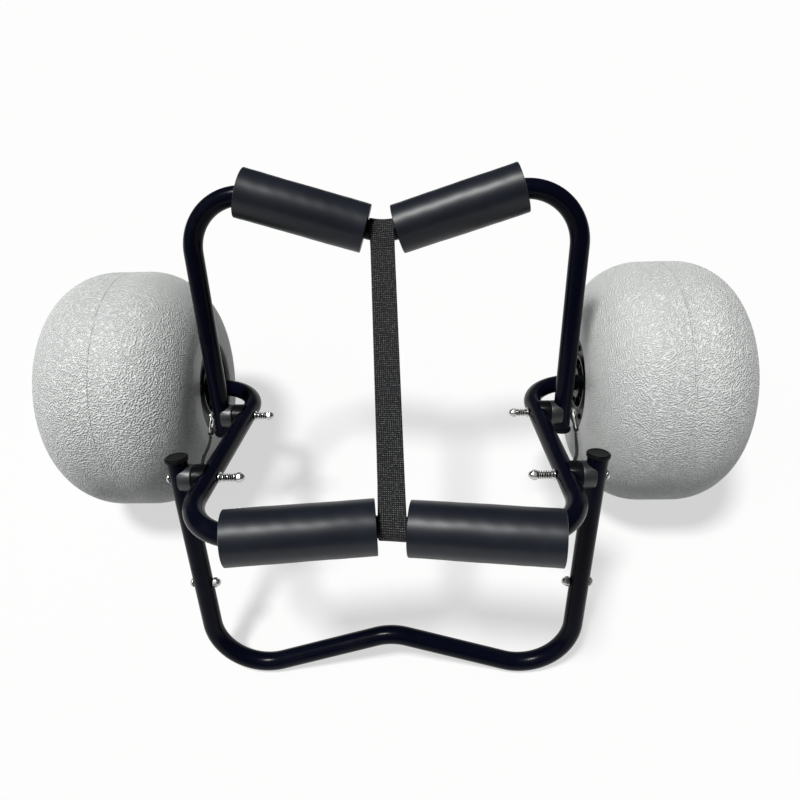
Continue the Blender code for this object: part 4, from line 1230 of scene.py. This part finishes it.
class TROLLEY_OT_fasteners(bpy.types.Operator):
    """Hinge bolts, washers, springs, dome nuts, kickstand bolts and the axle's washers and pins"""
    bl_idname = "trolley.fasteners"
    bl_label = "Fasteners"

    def execute(self, context):
        tube_r = sizes().tube_radius
        front, kick = front_plane(), kick_plane()
        for name, sign in SIDES:
            for label, reach, spring_l, room in (("rear", REAR_AT, 0.0130, RING_ROOM),
                                                 ("kick", KICK_AT, 0.0172, 0)):
                centre = front.origin + reach * front.out
                outer = front_leg_x(reach) + HINGE_SPACING + tube_r + CLEAR + room
                inner = front_leg_x(reach) - tube_r - CLEAR
                spring_start = inner - WASHER_T - CLEAR
                nut_start = spring_start - spring_l - CLEAR
                pivot, hinge = label + "_pivot_{}_" + name, label + "_hinge_{}_" + name
                bolt(pivot.format("bolt"), bolt_grids(centre, sign, outer, nut_start - 0.005),
                     "front_frame", hinge.format("bolt"))
                for part, grids in (
                        ("washer", washer_grids(centre, sign, inner)),
                        ("spring", spring_grids(centre, sign, spring_start, spring_l)),
                        ("nut", nut_grids(centre, sign, nut_start))):
                    steel(pivot.format(part), grids, "front_frame", hinge.format(part),
                          part == "spring")
            centre = kick.origin + KICK_BOLT * kick.out
            x = kick_leg_x(KICK_BOLT)
            bolt("kickstand_cross_bolt_" + name,
                 bolt_grids(centre, sign, x + tube_r + CLEAR, x - tube_r - 0.005),
                 "kickstand", "kickstand_bolt_" + name)
            steel("kickstand_cross_nut_" + name, nut_grids(centre, sign, x - tube_r - CLEAR),
                  "kickstand", "kickstand_nut_" + name)
            self.axle_end(name, sign)
        return {"FINISHED"}

    def axle_end(self, name, sign):
        """The washer outside a wheel and the pin across the axle that holds it on."""
        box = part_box("axle_washer_" + name)
        start = max(abs(box[0].x), abs(box[1].x))
        steel("axle_outer_washer_" + name, washer_grids(AXLE, sign, start, 0.002, 0.018, 0.0113),
              "front_frame", "axle_washer_" + name)
        low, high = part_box("axle_pin_" + name)
        x = (low.x + high.x) / 2
        end, head = -sizes().tube_radius - 0.007, sizes().tube_radius + CLEAR
        pin_r, head_r, head_t = 0.0020, 0.0045, 0.003
        section = rounded([(end, 0.0), (end, pin_r), (head, pin_r), (head, head_r),
                           (head + head_t, head_r), (head + head_t, 0.0)], 0.0004, 3)
        grid = turned_along(section, (x, AXLE[1], AXLE[2]), -front_plane().normal, 28)
        steel("axle_cross_pin_" + name, [(grid, False)], "front_frame", "axle_pin_" + name)


# Rings and lanyards
# The lanyard's run on the right side, from the axle's middle, as the frame holds it
LANYARD_RUN = [
    (0.2356, -0.0851, 0.0056),
    (0.2357, -0.0888, 0.0028),
    (0.2343, -0.0980, 0.0031),
    (0.2309, -0.1130, 0.0112),
    (0.2252, -0.1340, 0.0266),
    (0.2185, -0.1570, 0.0449),
    (0.2112, -0.1770, 0.0618),
    (0.2063, -0.1890, 0.0722),
    (0.2048, -0.1975, 0.0796),
    (0.2048, -0.2035, 0.0848),
]
STRAND_R, STRAND_OFFSET, STRAND_PITCH = 0.00112, 0.00098, 0.0135
KNOT_SIZE = 0.0026


def ring_shape(sign):
    """A ring's centre, two directions in its plane and its normal.

    It hangs on the hinge bolt, pulled forward by its cord and leaning outwards.
    """
    lean, hang = RING_LEAN, math.radians(11)
    drop = RING_R - (RING_WIRE + BOLT_R + CLEAR) / math.cos(lean)
    down = np.array([math.sin(lean) * math.cos(hang), -math.sin(hang),
                     -math.cos(lean) * math.cos(hang)])
    top_x = front_leg_x(REAR_AT) + HINGE_SPACING + sizes().tube_radius + RING_ROOM
    mirror = (sign, 1, 1)
    across = np.array([0.0, 1.0, 0.0])
    up = np.array([-math.sin(lean), 0, math.cos(lean)]) * mirror
    centre = (np.array([top_x, *REAR_PIVOT[1:]]) + drop * down) * mirror
    return centre, across, up, np.cross(across, up)


def strand(path, turn):
    """One of two strands twisted round a line, offset in a direction that turns along it."""
    side, up = path_frames(path)
    along = lengths(path)[:, None]
    a = 2 * math.pi * along / STRAND_PITCH + turn
    ease = np.clip(along / 0.004, 0.35, 1)
    return path + STRAND_OFFSET * ease * (np.cos(a) * side + np.sin(a) * up)


def eye_path(start, over, normal):
    """The strand's loop round a ring's wire: an ellipse from the knot up over the wire."""
    reach = np.linalg.norm(over - start) / 2 + RING_WIRE + STRAND_R
    way = unit(over - start)
    flat = unit(normal - way * (normal @ way))
    middle = start + way * (reach - STRAND_R)
    return middle + circle(48, reach * way, (RING_WIRE + 1.15 * STRAND_R) * flat)


def knot_path(centre, axis, size):
    """An overhand knot, drawn tight: a trefoil, flattened along the cord."""
    t = turn_angles(96)
    axis = unit(axis)
    side = unit(np.cross(axis, ACROSS))
    up = np.cross(axis, side)
    return (np.array(centre) + np.outer(size * (np.sin(t) + 2 * np.sin(2 * t)) / 3, side)
            + np.outer(size * (np.cos(t) - 2 * np.cos(2 * t)) / 3, up)
            + np.outer(-size * 0.75 * np.sin(3 * t), axis))


class TROLLEY_OT_lanyards(bpy.types.Operator):
    """Rings on the rear hinge bolts and the twisted cords tied from them to the kickstand hinges"""
    bl_idname = "trolley.lanyards"
    bl_label = "Lanyards"

    def execute(self, context):
        for name, sign in SIDES:
            centre, across, up, normal = ring_shape(sign)
            loop = centre + RING_R * circle(72, across, up)
            piece("pivot_ring_" + name, [(carried(loop, RING_WIRE, 14, normal), True)],
                  "bright_wire", "front_frame", ["lanyard_ring_" + name], 60)
            path = smooth_through((np.array(LANYARD_RUN) + AXLE) * (sign, 1, 1), 12)
            lowest = loop[np.argmin(np.linalg.norm(loop - path[0], axis=1))]
            knot = knot_path(path[6], path[14] - path[0], KNOT_SIZE)
            eye = eye_path(path[0], lowest, normal)
            twist = [(carried(strand(path, turn), STRAND_R, 14), False) for turn in (0, math.pi)]
            cord, eye, tied = (
                piece(f"lanyard_{part}_{name}", grids, "black_cord", "front_frame", nodes, 60)
                for part, grids, nodes in (
                    ("cord", twist, ["lanyard_" + name]),
                    ("eye", [(carried(eye, STRAND_R, 12), True)], ()),
                    ("knot", [(carried(knot, STRAND_R, 12), True)], ())))
        return {"FINISHED"}


# Stage
class TROLLEY_OT_stage(bpy.types.Operator):
    """Pale floor, soft lamps and the camera at the photograph's angle"""
    bl_idname = "trolley.stage"
    bl_label = "Stage"

    def execute(self, context):
        scene = context.scene
        scene.view_settings.view_transform = "Standard"
        self.floor()
        self.world(scene)
        self.lamps(scene)
        self.camera(scene)
        return {"FINISHED"}

    def floor(self):
        mesh = bpy.data.meshes.new("floor")
        s = 6.0
        mesh.from_pydata([(-s, -s, 0), (s, -s, 0), (s, s, 0), (-s, s, 0)], [], [(0, 1, 2, 3)])
        floor = bpy.data.objects.new("floor", mesh)
        bpy.context.scene.collection.objects.link(floor)
        f = Finish("pale_floor")
        f.set(Base_Color=(0.09, 0.09, 0.09), Roughness=0.9, Specular_IOR_Level=0.0)
        seen = f.add("ShaderNodeBsdfDiffuse", {}, {"Color": (0.82, 0.82, 0.82, 1)})
        white = f.add("ShaderNodeEmission", {}, {"Color": (1, 1, 1, 1), "Strength": 1.0})
        pale = f.add("ShaderNodeMixShader", {}, {0: 0.62, 1: seen, 2: white})
        camera, glossy, through = (f.add("ShaderNodeLightPath", out=f"Is {ray} Ray")
                                   for ray in ("Camera", "Glossy", "Transmission"))
        share = f.add("ShaderNodeClamp", {}, {0: camera + glossy + through})
        lit = Wire(f, f.shader.outputs[0])
        shown = f.add("ShaderNodeMixShader", {}, {0: share, 1: lit, 2: pale})
        f.tree.links.new(shown.socket, f.tree.nodes["Material Output"].inputs["Surface"])
        mesh.materials.append(f.material)

    def world(self, scene):
        world = bpy.data.worlds.new("studio")
        world.use_nodes = True
        scene.world = world
        back = world.node_tree.nodes["Background"]
        back.inputs["Color"].default_value = (0.88, 0.94, 1.0, 1)
        back.inputs["Strength"].default_value = 0.06

    def lamps(self, scene):
        for name, towards, angle, strength, colour in (
                ("key", (-0.27, -0.14, 1.0), 11, 3.5, (1.0, 0.995, 0.98)),
                ("fill", (-0.9, -0.7, 0.9), 70, 0.24, (0.94, 0.97, 1.0))):
            lamp = bpy.data.lights.new(name, "SUN")
            lamp.angle = math.radians(angle)
            lamp.energy = strength
            lamp.color = colour
            made = bpy.data.objects.new(name, lamp)
            scene.collection.objects.link(made)
            made.location = Vector(towards)
            made.rotation_mode = "QUATERNION"
            made.rotation_quaternion = (-Vector(towards)).to_track_quat("-Z", "Y")

    def camera(self, scene):
        """The solved camera, turned with the trolley so that it stands on the ground."""
        focal_px, frame_px = 645.667, 800
        centre_px = (399.552, 411.388)
        place = Vector((0.0408298, -0.5833419, 0.6772475))
        yaw, pitch, roll = -0.058, 0.900, -0.058
        settle = math.radians(3.35)
        forward = Vector((math.sin(yaw) * math.cos(pitch), math.cos(yaw) * math.cos(pitch),
                          -math.sin(pitch)))
        right = Vector((math.cos(yaw), -math.sin(yaw), 0))
        up = right.cross(forward)
        tilted_right = math.cos(roll) * right + math.sin(roll) * up
        tilted_up = -math.sin(roll) * right + math.cos(roll) * up
        turn = Matrix.Rotation(settle, 3, "X")
        columns = [turn @ tilted_right, turn @ tilted_up, turn @ -forward]
        data = bpy.data.cameras.new("camera")
        made = bpy.data.objects.new("camera", data)
        scene.collection.objects.link(made)
        rotation = Matrix(columns).transposed().to_4x4()
        made.matrix_world = Matrix.Translation(Vector(AXLE) + turn @ place) @ rotation
        data.sensor_width = 36
        data.lens = focal_px / frame_px * data.sensor_width
        data.shift_x = (frame_px / 2 - centre_px[0]) / frame_px
        data.shift_y = (centre_px[1] - frame_px / 2) / frame_px
        data.clip_start = 0.05
        scene.camera = made


OPERATORS = (TROLLEY_OT_front_cradle, TROLLEY_OT_rear_cradle, TROLLEY_OT_kickstand, TROLLEY_OT_pads,
             TROLLEY_OT_strap, TROLLEY_OT_wheels, TROLLEY_OT_hinges, TROLLEY_OT_fasteners,
             TROLLEY_OT_lanyards, TROLLEY_OT_stage)


class TROLLEY_PT_panel(bpy.types.Panel):
    bl_label = "Boat Launching Trolley"
    bl_idname = "TROLLEY_PT_panel"
    bl_space_type = "VIEW_3D"
    bl_region_type = "UI"
    bl_category = "Trolley"

    def draw(self, context):
        for group in (context.scene.trolley_sizes, context.scene.trolley_colours):
            for key in group.__annotations__:
                self.layout.prop(group, key)
        for operator in OPERATORS:
            self.layout.operator(operator.bl_idname)


CLASSES = (TrolleySizes, TrolleyColours, *OPERATORS, TROLLEY_PT_panel)


def register():
    for cls in CLASSES:
        bpy.utils.register_class(cls)
    bpy.types.Scene.trolley_sizes = PointerProperty(type=TrolleySizes)
    bpy.types.Scene.trolley_colours = PointerProperty(type=TrolleyColours)


def unregister():
    del bpy.types.Scene.trolley_colours
    del bpy.types.Scene.trolley_sizes
    for cls in reversed(CLASSES):
        bpy.utils.unregister_class(cls)


def main():
    register()
    bpy.ops.trolley.front_cradle()
    bpy.ops.trolley.rear_cradle()
    bpy.ops.trolley.kickstand()
    bpy.ops.trolley.pads()
    bpy.ops.trolley.strap()
    bpy.ops.trolley.wheels()
    bpy.ops.trolley.hinges()
    bpy.ops.trolley.fasteners()
    bpy.ops.trolley.lanyards()
    bpy.ops.trolley.stage()


if __name__ == "__main__":
    main()
